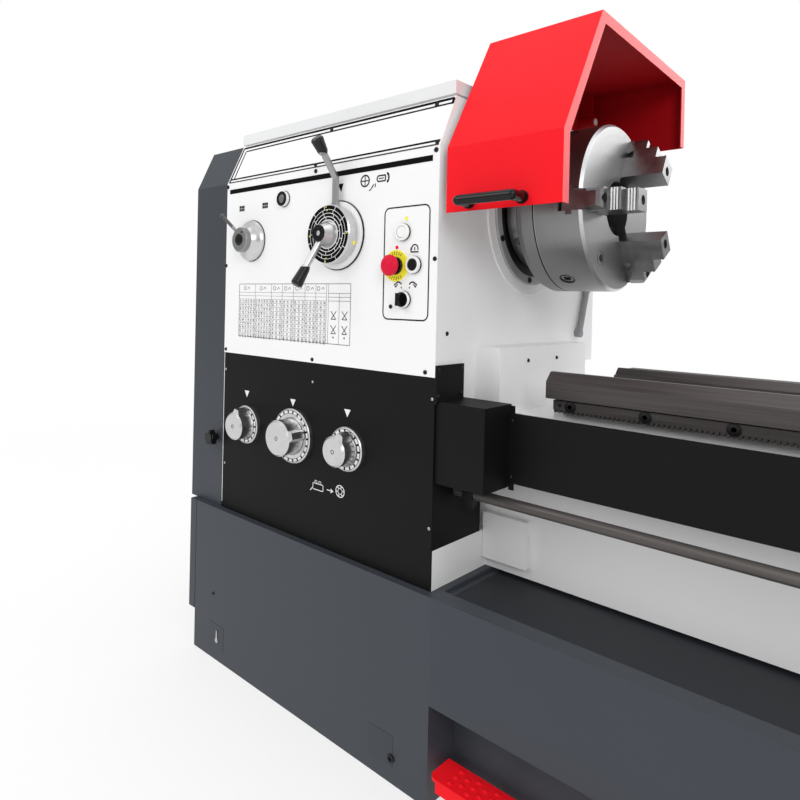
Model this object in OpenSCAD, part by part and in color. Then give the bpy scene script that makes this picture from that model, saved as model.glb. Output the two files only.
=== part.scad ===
// Engine lathe with a gap bed, 660 mm swing and a three-jaw chuck.
// Millimetres. The origin is on the floor below the spindle axis, in the plane
// of the headstock's chuck-side wall. +X runs to the tailstock, +Z is up and
// the operator stands at -Y.

/* [Headstock] */
// Height of the spindle axis above the floor
spindle_h = 1088; // [1080:1:1100]
// Length of the headstock along the spindle
head_len = 644; // [620:1:680]
// Distance from the spindle axis to the front panel
head_front = 333; // [325:1:345]
// Distance from the spindle axis to the headstock's back
head_back = 330; // [320:1:340]
// Height of the seam between headstock and feed gearbox
head_base_h = 761; // [755:1:770]
// Height of the upright part of the front panel
eave_h = 1181; // [1170:1:1190]
// Rise of the headstock roof above the upright part
roof_rise = 100; // [85:1:115]
// Setback of the roof edge behind the front panel
roof_setback = 48; // [40:1:56]
// Thickness of the lid on the roof
lid_t = 29; // [20:1:34]
// Wall thickness of the sloped top cover
cover_wall = 8; // [5:0.5:12]

/* [Spindle and chuck] */
// Diameter of the spindle bore
spindle_bore_d = 105; // [80:1:110]
// Diameter of the spindle journal
journal_d = 140; // [136:1:150]
// Diameter of the camlock nose flange
nose_d = 225.4; // [215:0.1:235]
// Distance from the headstock wall to the chuck's back
nose_end = 45; // [40:1:52]
// Diameter of the front bearing cap
cap_d = 300; // [280:1:330]
// Diameter of the chuck
chuck_d = 325; // [315:1:335]
// Length of the chuck's back part
backplate_len = 47; // [40:1:52]
// Length of the chuck body
chuck_len = 93; // [88:1:100]
// Bore through the chuck
chuck_bore_d = 106; // [104:0.5:108]
// Width of the jaw guideways
jaw_w = 38; // [34:1:42]
// Radius of the inner end of the jaws at rest
jaw_grip_r = 62; // [60:1:66]

/* [Chuck guard] */
// Width of the guard along the spindle
guard_w = 217; // [208:1:222]
// Height of the guard's lower front edge
guard_low_h = 1057; // [1045:1:1070]
// Height of the front fold
guard_fold_h = 1172; // [1160:1:1185]
// Sheet thickness of the guard
guard_t = 3; // [2:0.5:5]
// Height of the guard's pivot
pivot_h = 1320; // [1318:1:1326]
// Rise of the guard's ridge above the pivot
guard_rise = 76; // [66:1:86]

/* [Bed] */
// Distance from the headstock wall to the free end of the bed
bed_end = 3800; // [3700:10:4000]
// Half of the width over the outer ways
way_half = 183; // [178:1:188]
// Half of the width over the bed's side walls
wall_half = 149; // [145:1:152]
// Thickness of the bed's side walls
bed_wall = 24; // [18:1:28]
// Height of the flat tops of the ways
way_h = 757.7; // [755:0.1:760]
// Rise of the front V way above the flats
vee_rise = 17.3; // [15:0.1:19]
// Height of the shoulder beside the gap
shoulder_h = 813; // [805:1:820]
// Length of the shoulder
shoulder_len = 55.5; // [45:0.5:60]
// Distance from the headstock wall to the far side of the gap
gap_end = 137; // [130:1:142]
// Depth of the gap's floor below the flats of the ways
gap_depth = 71.7; // [60:0.1:90]
// Module of the rack
rack_module = 2.5; // [2:0.5:3]
// Depth of the rack bar
rack_depth = 22; // [20:0.5:24]

/* [Base] */
// Height of the pedestals
base_h = 374; // [360:1:380]
// Distance of the base's front below the headstock front
base_step = 18; // [12:1:24]
// Half depth of the pedestals behind the spindle axis
base_back = 300; // [290:1:310]
// Length of the left pedestal beyond the headstock wall
base_left = 725; // [715:1:735]
// Depth of the belt guard on the left pedestal's end
side_cover = 27; // [20:1:35]
// Length of the left pedestal past the headstock wall
base_lap = 15; // [10:1:20]
// Length of the right pedestal
foot_len = 680; // [600:10:720]
// Length of the middle support
mid_len = 260; // [220:10:320]
// Height of the lower edge of the chip tray
tray_low_h = 182; // [170:1:195]
// Sheet thickness of the chip tray
tray_t = 4; // [3:0.5:6]
// Width of the tray's rim
rim_w = 39; // [30:1:45]
// Depth of the tray floor below its rim
tray_sink = 6; // [4:0.5:9]
// Diameter of the foundation bolt holes
bolt_hole_d = 24; // [20:1:28]
// Depth of the foundation bolt holes
bolt_hole_len = 60; // [40:1:80]

/* [Feed drive] */
// Height of the leadscrew
leadscrew_h = 665; // [660:1:670]
// Diameter of the leadscrew
leadscrew_d = 40; // [36:1:42]
// Height of the feed rod
feedrod_h = 605; // [600:1:610]
// Diameter of the feed rod
feedrod_d = 28; // [24:1:30]
// Height of the control rod
control_h = 545; // [540:1:550]
// Diameter of the control rod
control_d = 20; // [18:1:22]
// Distance from the front panel to the leadscrew and feed rod
screw_setback = 118; // [114:1:122]
// Distance from the front panel to the control rod
control_setback = 75; // [72:1:77]
// Distance from the front panel to the leadscrew shield
shield_setback = 85; // [83:1:88]
// Height of the shield's lower edge
shield_low_h = 578; // [574:1:582]
// Width of the shield
shield_w = 125; // [115:1:135]
// Length of the black box beside the gearbox
box_len = 101; // [90:1:110]
// Depth of the gearbox behind its panel
gearbox_depth = 160; // [150:1:165]

/* [Change gears] */
// Module of the change gears
gear_module = 2; // [1.5:0.25:2]
// Teeth of the upper change gear
stud_teeth = 60; // [50:1:64]
// Teeth of the idler
idler_teeth = 90; // [88:1:96]
// Teeth of the gearbox gear
screw_teeth = 60; // [50:1:64]
// Face width of the change gears
gear_w = 22; // [16:1:26]
// Depth of the end cover
end_depth = 132; // [126:1:140]
// Wall thickness of the end cover
end_wall = 4; // [3:0.5:6]
// Number of V belts
belts = 4; // [3:1:4]
// Radius of the driven pulley
pulley_r = 105; // [95:1:110]
// Radius of the motor pulley
motor_pulley_r = 60; // [50:1:66]

/* [Controls] */
// Diameter of the speed drum
drum_d = 120; // [110:1:126]
// Diameter of the flange of the outer feed dials
dial_d = 90; // [80:1:100]
// Diameter of the flange of the middle feed dial
big_dial_d = 120; // [110:1:126]
// Spacing of the feed dials
dial_pitch = 165; // [155:1:172]
// Diameter of the emergency stop's mushroom
stop_d = 40; // [36:1:44]
// Width of the brake tread
tread_w = 60; // [50:1:70]
// Height of the brake tread
tread_h = 98; // [92:1:104]

/* [Carriage] */
// Distance from the headstock wall to the carriage's middle at rest
carriage_x = 1300; // [1250:10:1400]
// Length of the saddle on the ways
saddle_len = 640; // [600:10:680]
// Length of the apron
apron_len = 500; // [470:10:520]
// Thickness of the saddle's wings above the flats
wing_t = 50; // [45:1:54]
// Height of the saddle's bridge
bridge_h = 818; // [815:1:822]
// Width of the saddle's bridge
bridge_w = 320; // [280:5:340]
// Width of the cross slide
cross_w = 220; // [200:2:240]
// Length of the cross slide
cross_len = 500; // [480:5:520]
// Height of the cross slide's top
cross_h = 870; // [866:1:876]
// Diameter of the compound's swivel
swivel_d = 190; // [180:2:200]
// Length of the compound slide
compound_len = 280; // [260:5:300]
// Height of the compound slide's top
compound_h = 1005; // [1000:1:1010]
// Side of the square tool post
post_w = 150; // [140:1:160]
// Height of the tool slots
slot_h = 40; // [34:1:44]
// Diameter of the carriage handwheel
carriage_wheel_d = 220; // [200:2:236]

/* [Tailstock] */
// Distance between centres
centre_distance = 3000; // [2950:10:3050]
// Length of the tailstock's base
tail_len = 430; // [400:5:450]
// Diameter of the tailstock's barrel
barrel_d = 150; // [140:2:160]
// Length of the barrel
barrel_len = 400; // [380:5:420]
// Diameter of the quill
quill_d = 75; // [70:1:80]
// Diameter of the tailstock handwheel
tail_wheel_d = 230; // [200:2:240]

/* [Hidden] */
$fn = 96;

// Clearances: a turning fit, a sliding way and the gap between plain faces
fit = 0.05;
slip = 0.4;
gap = 0.3;

// Shared places
front = -head_front;
base_front = front - base_step;
roof_front = front + roof_setback;
roof_h = eave_h + roof_rise;
lid_top = roof_h + lid_t;
chuck_x = nose_end + backplate_len;
chuck_face = chuck_x + chuck_len;
screw_y = front + screw_setback;
control_y = front + control_setback;
shield_y = front + shield_setback;
shield_t = 3;
shield_high_h = shield_low_h + shield_w;
gap_floor_h = way_h - gap_depth;
guard_ridge_h = pivot_h + guard_rise;
gearbox_back = front + gearbox_depth;
foot_end = bed_end - 40;
foot_start = foot_end - foot_len;
mid_x = (base_lap + foot_start) / 2;
floor_h = base_h - tray_sink;
vee_top = way_h + vee_rise;
bracket_x = bed_end - 90;
bracket_len = 50;

// ---------------------------------------------------------------- helpers
// Box between two corners
module block(low, high) {
    translate(low) cube(high - low);
}

// Outline in Y and Z, extruded along X
module prism_x(x0, x1) {
    translate([x0, 0, 0]) rotate([90, 0, 90]) linear_extrude(x1 - x0) children();
}

// Outline in X and Z, extruded along Y
module prism_y(y0, y1) {
    translate([0, y1, 0]) rotate([90, 0, 0]) linear_extrude(y1 - y0) children();
}

// Outline in X and Y, extruded along Z
module prism_z(z0, z1) {
    translate([0, 0, z0]) linear_extrude(z1 - z0) children();
}

// Cylinders along the three axes
module cyl_x(x0, x1, y, z, r, r_end = -1) {
    translate([x0, y, z]) rotate([0, 90, 0])
        cylinder(h = x1 - x0, r1 = r, r2 = r_end < 0 ? r : r_end);
}
module cyl_y(y0, y1, x, z, r, r_end = -1) {
    translate([x, y0, z]) rotate([-90, 0, 0])
        cylinder(h = y1 - y0, r1 = r, r2 = r_end < 0 ? r : r_end);
}
module cyl_z(z0, z1, x, y, r, r_end = -1) {
    translate([x, y, z0])
        cylinder(h = z1 - z0, r1 = r, r2 = r_end < 0 ? r : r_end);
}

// Round bar from point a to point b, with a radius at each end
module rod(a, b, r, r_end = -1) {
    d = b - a;
    translate(a) rotate([0, acos(d[2] / norm(d)), atan2(d[1], d[0])])
        cylinder(h = norm(d), r1 = r, r2 = r_end < 0 ? r : r_end);
}

// Ring profile given as [radius, height] points, turned about the X axis
module turned_x(x, y, z, points) {
    translate([x, y, z]) rotate([0, 90, 0]) rotate_extrude() polygon(points);
}

// The same about an axis along -Y, heights counted towards the operator
module turned_y(x, y, z, points) {
    translate([x, y, z]) rotate([90, 0, 0]) rotate_extrude() polygon(points);
}

// Rectangle with round corners, given by its middle
module soft_rect(w, h, r) {
    square([w - 2 * r, h], center = true);
    square([w, h - 2 * r], center = true);
    for (sx = [-1, 1], sy = [-1, 1])
        translate([sx * (w / 2 - r), sy * (h / 2 - r)]) circle(r);
}

// Unit normal on the right of the stretch that starts at point i
function right_of(p, i) = let (d = p[i + 1] - p[i]) [d[1], -d[0]] / norm(d);

// Point i moved by t to the right of the line, mitred at a fold
function beside(p, i, t) = i == 0 ? p[0] + t * right_of(p, 0)
    : i == len(p) - 1 ? p[i] + t * right_of(p, i - 1)
    : let (a = right_of(p, i - 1), b = right_of(p, i)) p[i] + t * (a + b) / (1 + a * b);

// Band between two distances beside a line of points, with sharp folds
module band(p, t0, t1) polygon(concat(
    [for (i = [0 : len(p) - 1]) beside(p, i, t0)],
    [for (i = [len(p) - 1 : -1 : 0]) beside(p, i, t1)]));

// Conical grip that stands on its thin end
module grip(r, h) rotate_extrude() polygon([
    [0, 0], [r * 0.62, 0], [r * 0.78, h * 0.12], [r, h - 5], [r - 1, h - 2], [r - 3.5, h], [0, h]]);

// Lever from a to b: a plain rod that ends in a grip
module lever(a, b, rod_r, grip_r, grip_share) {
    d = b - a;
    h = norm(d);
    translate(a) rotate([0, acos(d[2] / h), atan2(d[1], d[0])]) {
        cylinder(h = h - 10, r = rod_r);
        translate([0, 0, h * (1 - grip_share)]) grip(grip_r, h * grip_share);
    }
}

// ------------------------------------------------------------------- base
anchor_inset = 77;
anchor_setback = 32;

// Blind holes for the four foundation bolts of a pedestal
module anchors(x0, x1) for (x = [x0 + anchor_inset, x1 - anchor_inset],
    y = [base_front + anchor_setback, base_back - anchor_setback])
        cyl_z(-1, bolt_hole_len, x, y, bolt_hole_d / 2);

brake_y = front + 43;
brake_h = 45;
brake_r = 12;
pit = [[-737, 105], [-664, 270]];
motor_at = [185, 195];
motor_shaft_r = 16;

module left_pedestal() color("#4b5560") difference() {
    union() {
        block([-base_left, base_front, 0], [base_lap, base_back, base_h]);
        // Box-shaped belt guard on the outer end
        block([-base_left - side_cover, base_front, 95], [-base_left, base_back, base_h]);
    }
    anchors(-base_left, base_lap);
    // Seam around the belt guard
    block([-base_left - 2, base_front - 1, 95], [-base_left, base_front + 3, base_h + 1]);
    // Pit in which the motor pulley runs
    block([pit[0][0], pit[0][1], 80], [pit[1][0], pit[1][1], base_h + 1]);
    cyl_x(pit[1][0] - 1, pit[1][0] + 60, motor_at[0], motor_at[1], motor_shaft_r + fit);
    // Seat of the brake shaft
    cyl_x(base_lap - 25, base_lap + 1, brake_y, brake_h, brake_r + fit);
}

module bed_supports() color("#4b5560") {
    // Middle support, set back behind the brake tread
    difference() {
        union() {
            block([mid_x - mid_len / 2, -head_front + 70, 0],
                [mid_x + mid_len / 2, base_back, 20]);
            block([mid_x - mid_len / 2 + 30, -head_front + 75, 20],
                [mid_x + mid_len / 2 - 30, base_back - 20, floor_h - tray_t]);
        }
        for (sx = [-1, 1], y = [-head_front + 100, base_back - 30])
            cyl_z(-1, 21, mid_x + sx * (mid_len / 2 - 15), y, 8);
    }
    // Right pedestal
    difference() {
        block([foot_start, base_front, 0], [foot_end, base_back, base_h]);
        anchors(foot_start, foot_end);
        cyl_x(foot_start - 1, foot_start + 25, brake_y, brake_h, brake_r + fit);
    }
}

// The tray is one folded sheet: kick panel, front box, rim and floor
module chip_tray() color("#4b5560") {
    t = tray_t;
    kick_y = front + 68;
    prism_x(base_lap, foot_start) band([
        [kick_y, 30],
        [kick_y, tray_low_h + t / 2],
        [base_front + t / 2, tray_low_h + t / 2],
        [base_front + t / 2, base_h - t / 2],
        [base_front + rim_w, base_h - t / 2],
        [base_front + rim_w + tray_sink, floor_h - t / 2],
        [base_back - rim_w, floor_h - t / 2],
        [base_back - rim_w, base_h - t / 2],
        [base_back - t / 2, base_h - t / 2],
        [base_back - t / 2, floor_h - 40]], -t / 2, t / 2);
}

// -------------------------------------------------------------------- bed
rail_inner = 80;
web_inner = wall_half - bed_wall;
rear_rise = 5.3;
inner_vee = 10;
rail_under = 722;
head_under = 700;
foot_t = 24;
foot_in = 95;
crest_w = 10.7;
overhang_h = 728;

// Front rail: wall, rack ledge, V way for the saddle and flat for the tailstock
module front_rail() polygon([
    [-wall_half, base_h],
    [-wall_half, overhang_h],
    [-way_half, overhang_h],
    [-way_half, way_h],
    [-way_half + vee_rise, vee_top],
    [-way_half + vee_rise + crest_w, vee_top],
    [-way_half + 2 * vee_rise + crest_w, way_h],
    [-rail_inner, way_h],
    [-rail_inner, rail_under],
    [-web_inner, head_under],
    [-web_inner, base_h + foot_t],
    [-foot_in, base_h + foot_t],
    [-foot_in, base_h]]);

// Rear rail: V way for the tailstock and flat way for the saddle
module rear_rail() polygon([
    [wall_half, base_h],
    [wall_half, overhang_h],
    [way_half, overhang_h],
    [way_half, way_h + rear_rise],
    [way_half - 40, way_h + rear_rise],
    [way_half - 40, way_h - 8],
    [way_half - 57, way_h - 8],
    [way_half - 57 - 8 - inner_vee, way_h + inner_vee],
    [way_half - 57 - 16 - inner_vee, way_h + inner_vee],
    [rail_inner + 6, way_h - 4],
    [rail_inner, way_h - 4],
    [rail_inner, rail_under],
    [web_inner, head_under],
    [web_inner, base_h + foot_t],
    [foot_in, base_h + foot_t],
    [foot_in, base_h]]);

shelf_h = 447;
rear_start = 18;
rib_pitch = 430;
rib_t = 22;
window = [250, 150];
ribs = floor((bed_end - gap_end - 60) / rib_pitch);
pad_len = 94;

module bed() color("#eceded") difference() {
    union() {
        // Seat of the headstock, shelf of the gearbox and shoulder
        block([-head_len, -wall_half, base_h], [shoulder_len, wall_half, head_base_h]);
        block([-head_len, front + 3 + gap, base_h], [0, -wall_half, shelf_h]);
        block([0, -wall_half - 55, gap_floor_h + 14], [shoulder_len, wall_half + 18, shoulder_h]);
        // Gap
        block([shoulder_len, -wall_half, base_h], [gap_end, wall_half, gap_floor_h]);
        // Rails
        prism_x(gap_end, bed_end) front_rail();
        prism_x(gap_end + rear_start, bed_end) rear_rail();
        block([gap_end - 1, web_inner, base_h], [gap_end + rear_start + 1, wall_half, gap_floor_h]);
        // Cross ribs and the end wall
        for (i = [0 : ribs]) block([gap_end + i * rib_pitch, -web_inner - 1, base_h],
            [gap_end + i * rib_pitch + rib_t, web_inner + 1, head_under]);
        block([bed_end - rib_t, -web_inner - 1, base_h], [bed_end, web_inner + 1, head_under]);
        // Pads on which the bed stands over the middle support
        block([mid_x - mid_len / 2, -wall_half, floor_h], [mid_x + mid_len / 2, wall_half, base_h + 1]);
        // Cover pad on the front wall
        prism_y(-wall_half - 14, -wall_half) translate([pad_len / 2 + 1, shelf_h - 8])
            soft_rect(pad_len, 90, 3);
    }
    // Core under the headstock and core of the gap
    block([-head_len + 40, -web_inner, base_h + foot_t], [-20, web_inner, head_base_h - 45]);
    // Chip windows in the rear wall
    for (i = [0 : ribs - 1]) prism_y(web_inner - 1, wall_half + 1)
        translate([gap_end + rib_t / 2 + (i + 0.5) * rib_pitch, (base_h + foot_t + rail_under) / 2])
            soft_rect(window[0], window[1], 40);
}

rack_x = 148;
rack_top = overhang_h - 3;
rack_pitch = PI * rack_module;
rack_teeth = floor((bracket_x - 20 - rack_x) / rack_pitch);
rack_tip = rack_top - rack_depth;
rack_root = rack_tip + 2.25 * rack_module;

// Outline of the toothed lower edge, in X and Z
rack_edge = [for (i = [0 : rack_teeth - 1], p = [0 : 3])
    [rack_x + (i + [0.08, 0.33, 0.61, 0.86][p]) * rack_pitch, p == 0 || p == 3 ? rack_root : rack_tip]];

module rack() color("#8b8680") prism_y(-wall_half - 26, -wall_half)
    polygon(concat([[rack_x, rack_top], [rack_x, rack_root]], rack_edge,
        [[rack_x + rack_teeth * rack_pitch, rack_root], [rack_x + rack_teeth * rack_pitch, rack_top]]));

// -------------------------------------------------------------- headstock
spindle_tail = 56;
pulley_at = [185, 905];
pulley_shaft_r = 20;
stud_at = [-95, 860];
input_at = [screw_y, 600];
gear_shaft_r = 15;
shaft_seat = 60;
hinge_at = [-head_len, head_back + 12];
pin_r = 5;
ear_r = 10;
ear_h = 30;
ears = [820, 1100];
plate_w = 87;
skirt_h = head_base_h - 49;

dial_h = 596;
dial_x = -374;
drum_at = [-251, 1031];
knob_at = [-540, 1034];
stop_at = [-96, 965];
start_at = [-79, 1028];
jog_at = [-52, 966];
mode_at = [-75, 901];
collar_r = 20;
stem_r = 9;
button_r = 11;
bezel_r = 15;
bezel_t = 4;
seat_depth = 30;
base_ring_r = 70;
base_ring_t = 6;
stem_start = base_ring_t + 2;

// Seat of a control in the front panel
module control_seat(at, r) cyl_y(front - 20, front + seat_depth, at[0], at[1], r + fit);

module headstock() color("#eceded") difference() {
    union() {
        block([-head_len, front, head_base_h], [0, head_back, eave_h]);
        // Skirt behind the gearbox's upper part
        block([-head_len, front + plate_w + gap, skirt_h + gap],
            [0, -wall_half - gap, head_base_h + 1]);
        // Ears with the hinge pins of the end cover
        for (z = ears) {
            cyl_z(z, z + ear_h, hinge_at[0], hinge_at[1], ear_r);
            cyl_z(z, z + 2 * ear_h, hinge_at[0], hinge_at[1], pin_r);
            block([hinge_at[0], head_back - 1, z], [hinge_at[0] + 30, hinge_at[1] + 6, z + ear_h]);
        }
        // Ring behind the speed drum and bezels of the buttons
        cyl_y(front - base_ring_t, front, drum_at[0], drum_at[1], base_ring_r);
        for (at = [start_at, jog_at, mode_at])
            cyl_y(front - bezel_t, front, at[0], at[1], bezel_r);
    }
    // Spindle, input shaft and change gear shaft
    cyl_x(-head_len - 1, 1, 0, spindle_h, journal_d / 2 + fit);
    cyl_x(-head_len - 1, -head_len + shaft_seat, pulley_at[0], pulley_at[1], pulley_shaft_r + fit);
    cyl_x(-head_len - 1, -head_len + shaft_seat, stud_at[0], stud_at[1], gear_shaft_r + fit);
    control_seat(drum_at, collar_r);
    control_seat(knob_at, stem_r);
    for (at = [stop_at, start_at, jog_at, mode_at]) control_seat(at, button_r);
}

// Bent sheet cover with closed ends, under a thick lid
arm_at = [190, pivot_h];
pivot_r = 8;
module roof_outline(inset) polygon([
    [front + inset, eave_h + inset],
    [roof_front + inset * 0.7, roof_h - inset],
    [head_back - 18 - inset * 0.7, roof_h - inset],
    [head_back - inset, roof_h - 19],
    [head_back - inset, eave_h + inset]]);

module headstock_cover() color("#eceded") {
    difference() {
        prism_x(-head_len, 0) roof_outline(0);
        prism_x(-head_len + cover_wall, -cover_wall) roof_outline(cover_wall);
    }
    // Lid on its neck
    block([-head_len + 6, roof_front + 5, roof_h - 1], [-6, head_back - 46, roof_h + 5]);
    block([-head_len, roof_front - 2, roof_h + 4], [0, head_back - 40, lid_top]);
    // Bracket and pivot pin of the chuck guard
    block([-70, arm_at[0] - 25, lid_top], [-10, arm_at[0] + 25, pivot_h + 12]);
    cyl_x(-60, 58, arm_at[0], pivot_h, pivot_r);
}

// Sheet metal box with a deep lower panel, standing on the bed's shelf
module feed_gearbox() color("#2b2d30") difference() {
    union() {
        block([-head_len, front, shelf_h], [0, gearbox_back, skirt_h]);
        block([-head_len, front, skirt_h - 1], [0, front + plate_w, head_base_h]);
        block([-head_len, front, base_h], [0, front + 3, shelf_h + 1]);
    }
    for (i = [-1 : 1]) control_seat([dial_x + i * dial_pitch, dial_h], stem_r);
    cyl_x(-head_len - 1, -head_len + shaft_seat, input_at[0], input_at[1], gear_shaft_r + fit);
    cyl_x(-shaft_seat, 1, screw_y, leadscrew_h, leadscrew_d / 2 + fit);
    cyl_x(-shaft_seat, 1, screw_y, feedrod_h, feedrod_d / 2 + fit);
    cyl_x(-shaft_seat, 1, control_y, control_h, control_d / 2 + fit);
}

module bearing_cap() color("#eceded") turned_x(0, 0, spindle_h, [
    [journal_d / 2 + 3, 0], [cap_d / 2 + 22, 0], [cap_d / 2 + 22, 2], [cap_d / 2 + 21, 3],
    [cap_d / 2, 3], [cap_d / 2, 8], [cap_d / 2 - 1, 9], [cap_d / 2 - 18, 9],
    [cap_d / 2 - 19, 6], [journal_d / 2 + 3, 6]]);

// Black cover box, its flange plate and the long shield of the leadscrew
plate_top = 783;
box_top = 718;
module leadscrew_cover() color("#2b2d30") {
    difference() {
        block([0, front, box_top - 5], [4, front + plate_w, plate_top]);
        for (y = [front + 5, front + plate_w - 9], z = [plate_top - 8, box_top + 10])
            cyl_x(2, 5, y, z, 2);
    }
    block([0, front + 5, shield_low_h - 8], [box_len, front + plate_w + 7, box_top]);
    block([box_len - 1, shield_y, shield_low_h], [bracket_x, shield_y + shield_t, shield_high_h]);
}

// Hose of the guard switch, clipped to the headstock wall
hose_r = 7;
hose = [[8.5, 228, 1150], [8.5, 262, 1080], [8.5, 273, 930], [8.5, 238, 830]];
module conduit() color("#8f9296") {
    for (i = [0 : len(hose) - 2]) rod(hose[i], hose[i + 1], hose_r);
    for (i = [1 : len(hose) - 2]) translate(hose[i]) sphere(hose_r + 1);
    for (p = [hose[0], hose[len(hose) - 1]]) cyl_x(0, 14, p[1], p[2], 10);
}

module tail_bracket() color("#4b5560") difference() {
    prism_x(bracket_x, bracket_x + bracket_len) polygon([
        [-wall_half, control_h - 45], [control_y - 8, control_h - 25], [control_y - 12, control_h - 15],
        [control_y - 12, control_h + 15], [screw_y - 32, feedrod_h - 5], [screw_y - 32, leadscrew_h + 25],
        [screw_y - 22, leadscrew_h + 35], [-wall_half, leadscrew_h + 35]]);
    cyl_x(bracket_x - 1, bracket_x + 60, screw_y, leadscrew_h, leadscrew_d / 2 + fit);
    cyl_x(bracket_x - 1, bracket_x + 60, screw_y, feedrod_h, feedrod_d / 2 + fit);
    cyl_x(bracket_x - 1, bracket_x + 60, control_y, control_h, control_d / 2 + fit);
}

// --------------------------------------------------- change gears and belts
function inv(a) = tan(a) * 180 / PI - a;

// Half of a tooth's angle at radius r, for an involute gear with backlash
backlash = 0.16;
function tooth_half(n, m, r) = 90 / n + inv(20)
    - inv(acos(min(1, n * m / 2 * cos(20) / r))) - backlash / (n * m / 2) * 180 / PI / 2;

function gear_points(n, m, turn) = [for (i = [0 : n - 1], k = [0 : 5])
    let (r = n * m / 2 + [-1.2, 0, 0.95, 0.95, 0, -1.2][k] * m,
        a = turn + 360 / n * i + (k < 3 ? -1 : 1) * tooth_half(n, m, max(r, n * m / 2 * cos(20))))
    [r * cos(a), r * sin(a)]];

idler_gap = gear_module * (stud_teeth + idler_teeth) / 2;
screw_gap = gear_module * (idler_teeth + screw_teeth) / 2;
train_span = norm(stud_at - input_at);
train_dir = atan2(input_at[1] - stud_at[1], input_at[0] - stud_at[0]);
idler_bend = acos((pow(idler_gap, 2) + pow(train_span, 2) - pow(screw_gap, 2))
    / (2 * idler_gap * train_span));
stud_dir = train_dir + idler_bend;
idler_at = stud_at + idler_gap * [cos(stud_dir), sin(stud_dir)];
screw_dir = atan2(input_at[1] - idler_at[1], input_at[0] - idler_at[0]);

// Turns that put teeth opposite gaps where the gears meet
stud_turn = stud_dir;
idler_turn = stud_dir + 180 + 180 / idler_teeth;
idler_lag = (screw_dir - idler_turn) % (360 / idler_teeth);
screw_turn = screw_dir + 180 + idler_lag * idler_teeth / screw_teeth + 180 / screw_teeth;

gear_x = -head_len - 8 - gear_w;

module change_gear(at, teeth, turn, hub_r, bore_r) difference() {
    union() {
        prism_x(gear_x, gear_x + gear_w) translate(at)
            polygon(gear_points(teeth, gear_module, turn));
        cyl_x(gear_x - 4, gear_x + gear_w + 1, at[0], at[1], hub_r);
    }
    // Recessed web with lightening holes
    for (x = [gear_x - 5, gear_x + gear_w - 6]) difference() {
        cyl_x(x, x + 11, at[0], at[1], teeth * gear_module / 2 - 10);
        cyl_x(x - 1, x + 12, at[0], at[1], hub_r);
    }
    for (a = [30 : 60 : 330]) cyl_x(gear_x - 5, gear_x + gear_w + 2,
        at[0] + (teeth * gear_module / 4 + 8) * cos(a),
        at[1] + (teeth * gear_module / 4 + 8) * sin(a), teeth * gear_module / 16);
    if (bore_r > 0) cyl_x(gear_x - 5, gear_x + gear_w + 3, at[0], at[1], bore_r);
}

module shaft_with_nut(at) {
    cyl_x(gear_x - 18, -head_len + shaft_seat - 5, at[0], at[1], gear_shaft_r);
    translate([gear_x - 16, at[0], at[1]]) rotate([0, 90, 0]) cylinder(h = 11, r = 20, $fn = 6);
}

module stud_gear() color("#8a8c8e") {
    change_gear(stud_at, stud_teeth, stud_turn, 24, 0);
    shaft_with_nut(stud_at);
}

module screw_gear() color("#8a8c8e") {
    change_gear(input_at, screw_teeth, screw_turn, 24, 0);
    shaft_with_nut(input_at);
}

module idler_gear() color("#8a8c8e")
    change_gear(idler_at, idler_teeth, idler_turn, 26, gear_shaft_r + fit);

// Swing plate that carries the idler, bolted to the headstock's end
plate_t = 5;
module gear_bracket() color("#6d7276") {
    lug = 36;
    d = input_at - idler_at;
    n = [-d[1], d[0]] / norm(d) * lug;
    difference() {
        prism_x(-head_len - plate_t, -head_len) {
            translate(idler_at) circle(lug);
            translate(input_at) circle(lug);
            polygon([idler_at + n, input_at + n, input_at - n, idler_at - n]);
            translate(idler_at) square([10, 110]);
        }
        cyl_x(-head_len - 6, -head_len + 1, input_at[0], input_at[1], gear_shaft_r + 2);
        for (s = [0.38, 0.5]) cyl_x(-head_len - 6, -head_len + 1,
            idler_at[0] + d[0] * s, idler_at[1] + d[1] * s, 7);
    }
    cyl_x(gear_x - 12, -head_len, idler_at[0], idler_at[1], gear_shaft_r);
    cyl_x(gear_x - 12, gear_x - 4 - gap, idler_at[0], idler_at[1], gear_shaft_r + 6);
}

belt_x = -head_len - 28;
belt_pitch = 16;
belt_w = 13;
belt_t = 9;

// Outline around both pulleys, grown by t: two arcs that run into each other
module belt_outline(t) {
    a = asin((pulley_r - motor_pulley_r) / norm(pulley_at - motor_at));
    up = atan2(pulley_at[1] - motor_at[1], pulley_at[0] - motor_at[0]);
    n = 30;
    polygon(concat(
        [for (i = [0 : n]) let (w = up - 90 - a + (180 + 2 * a) * i / n)
            pulley_at + (pulley_r + t) * [cos(w), sin(w)]],
        [for (i = [0 : n]) let (w = up + 90 + a + (180 - 2 * a) * i / n)
            motor_at + (motor_pulley_r + t) * [cos(w), sin(w)]]));
}

module v_belts() color("#1f2022") for (i = [0 : belts - 1])
    prism_x(belt_x - i * belt_pitch - belt_w, belt_x - i * belt_pitch) difference() {
        belt_outline(gap);
        belt_outline(gap - belt_t);
    }

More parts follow.
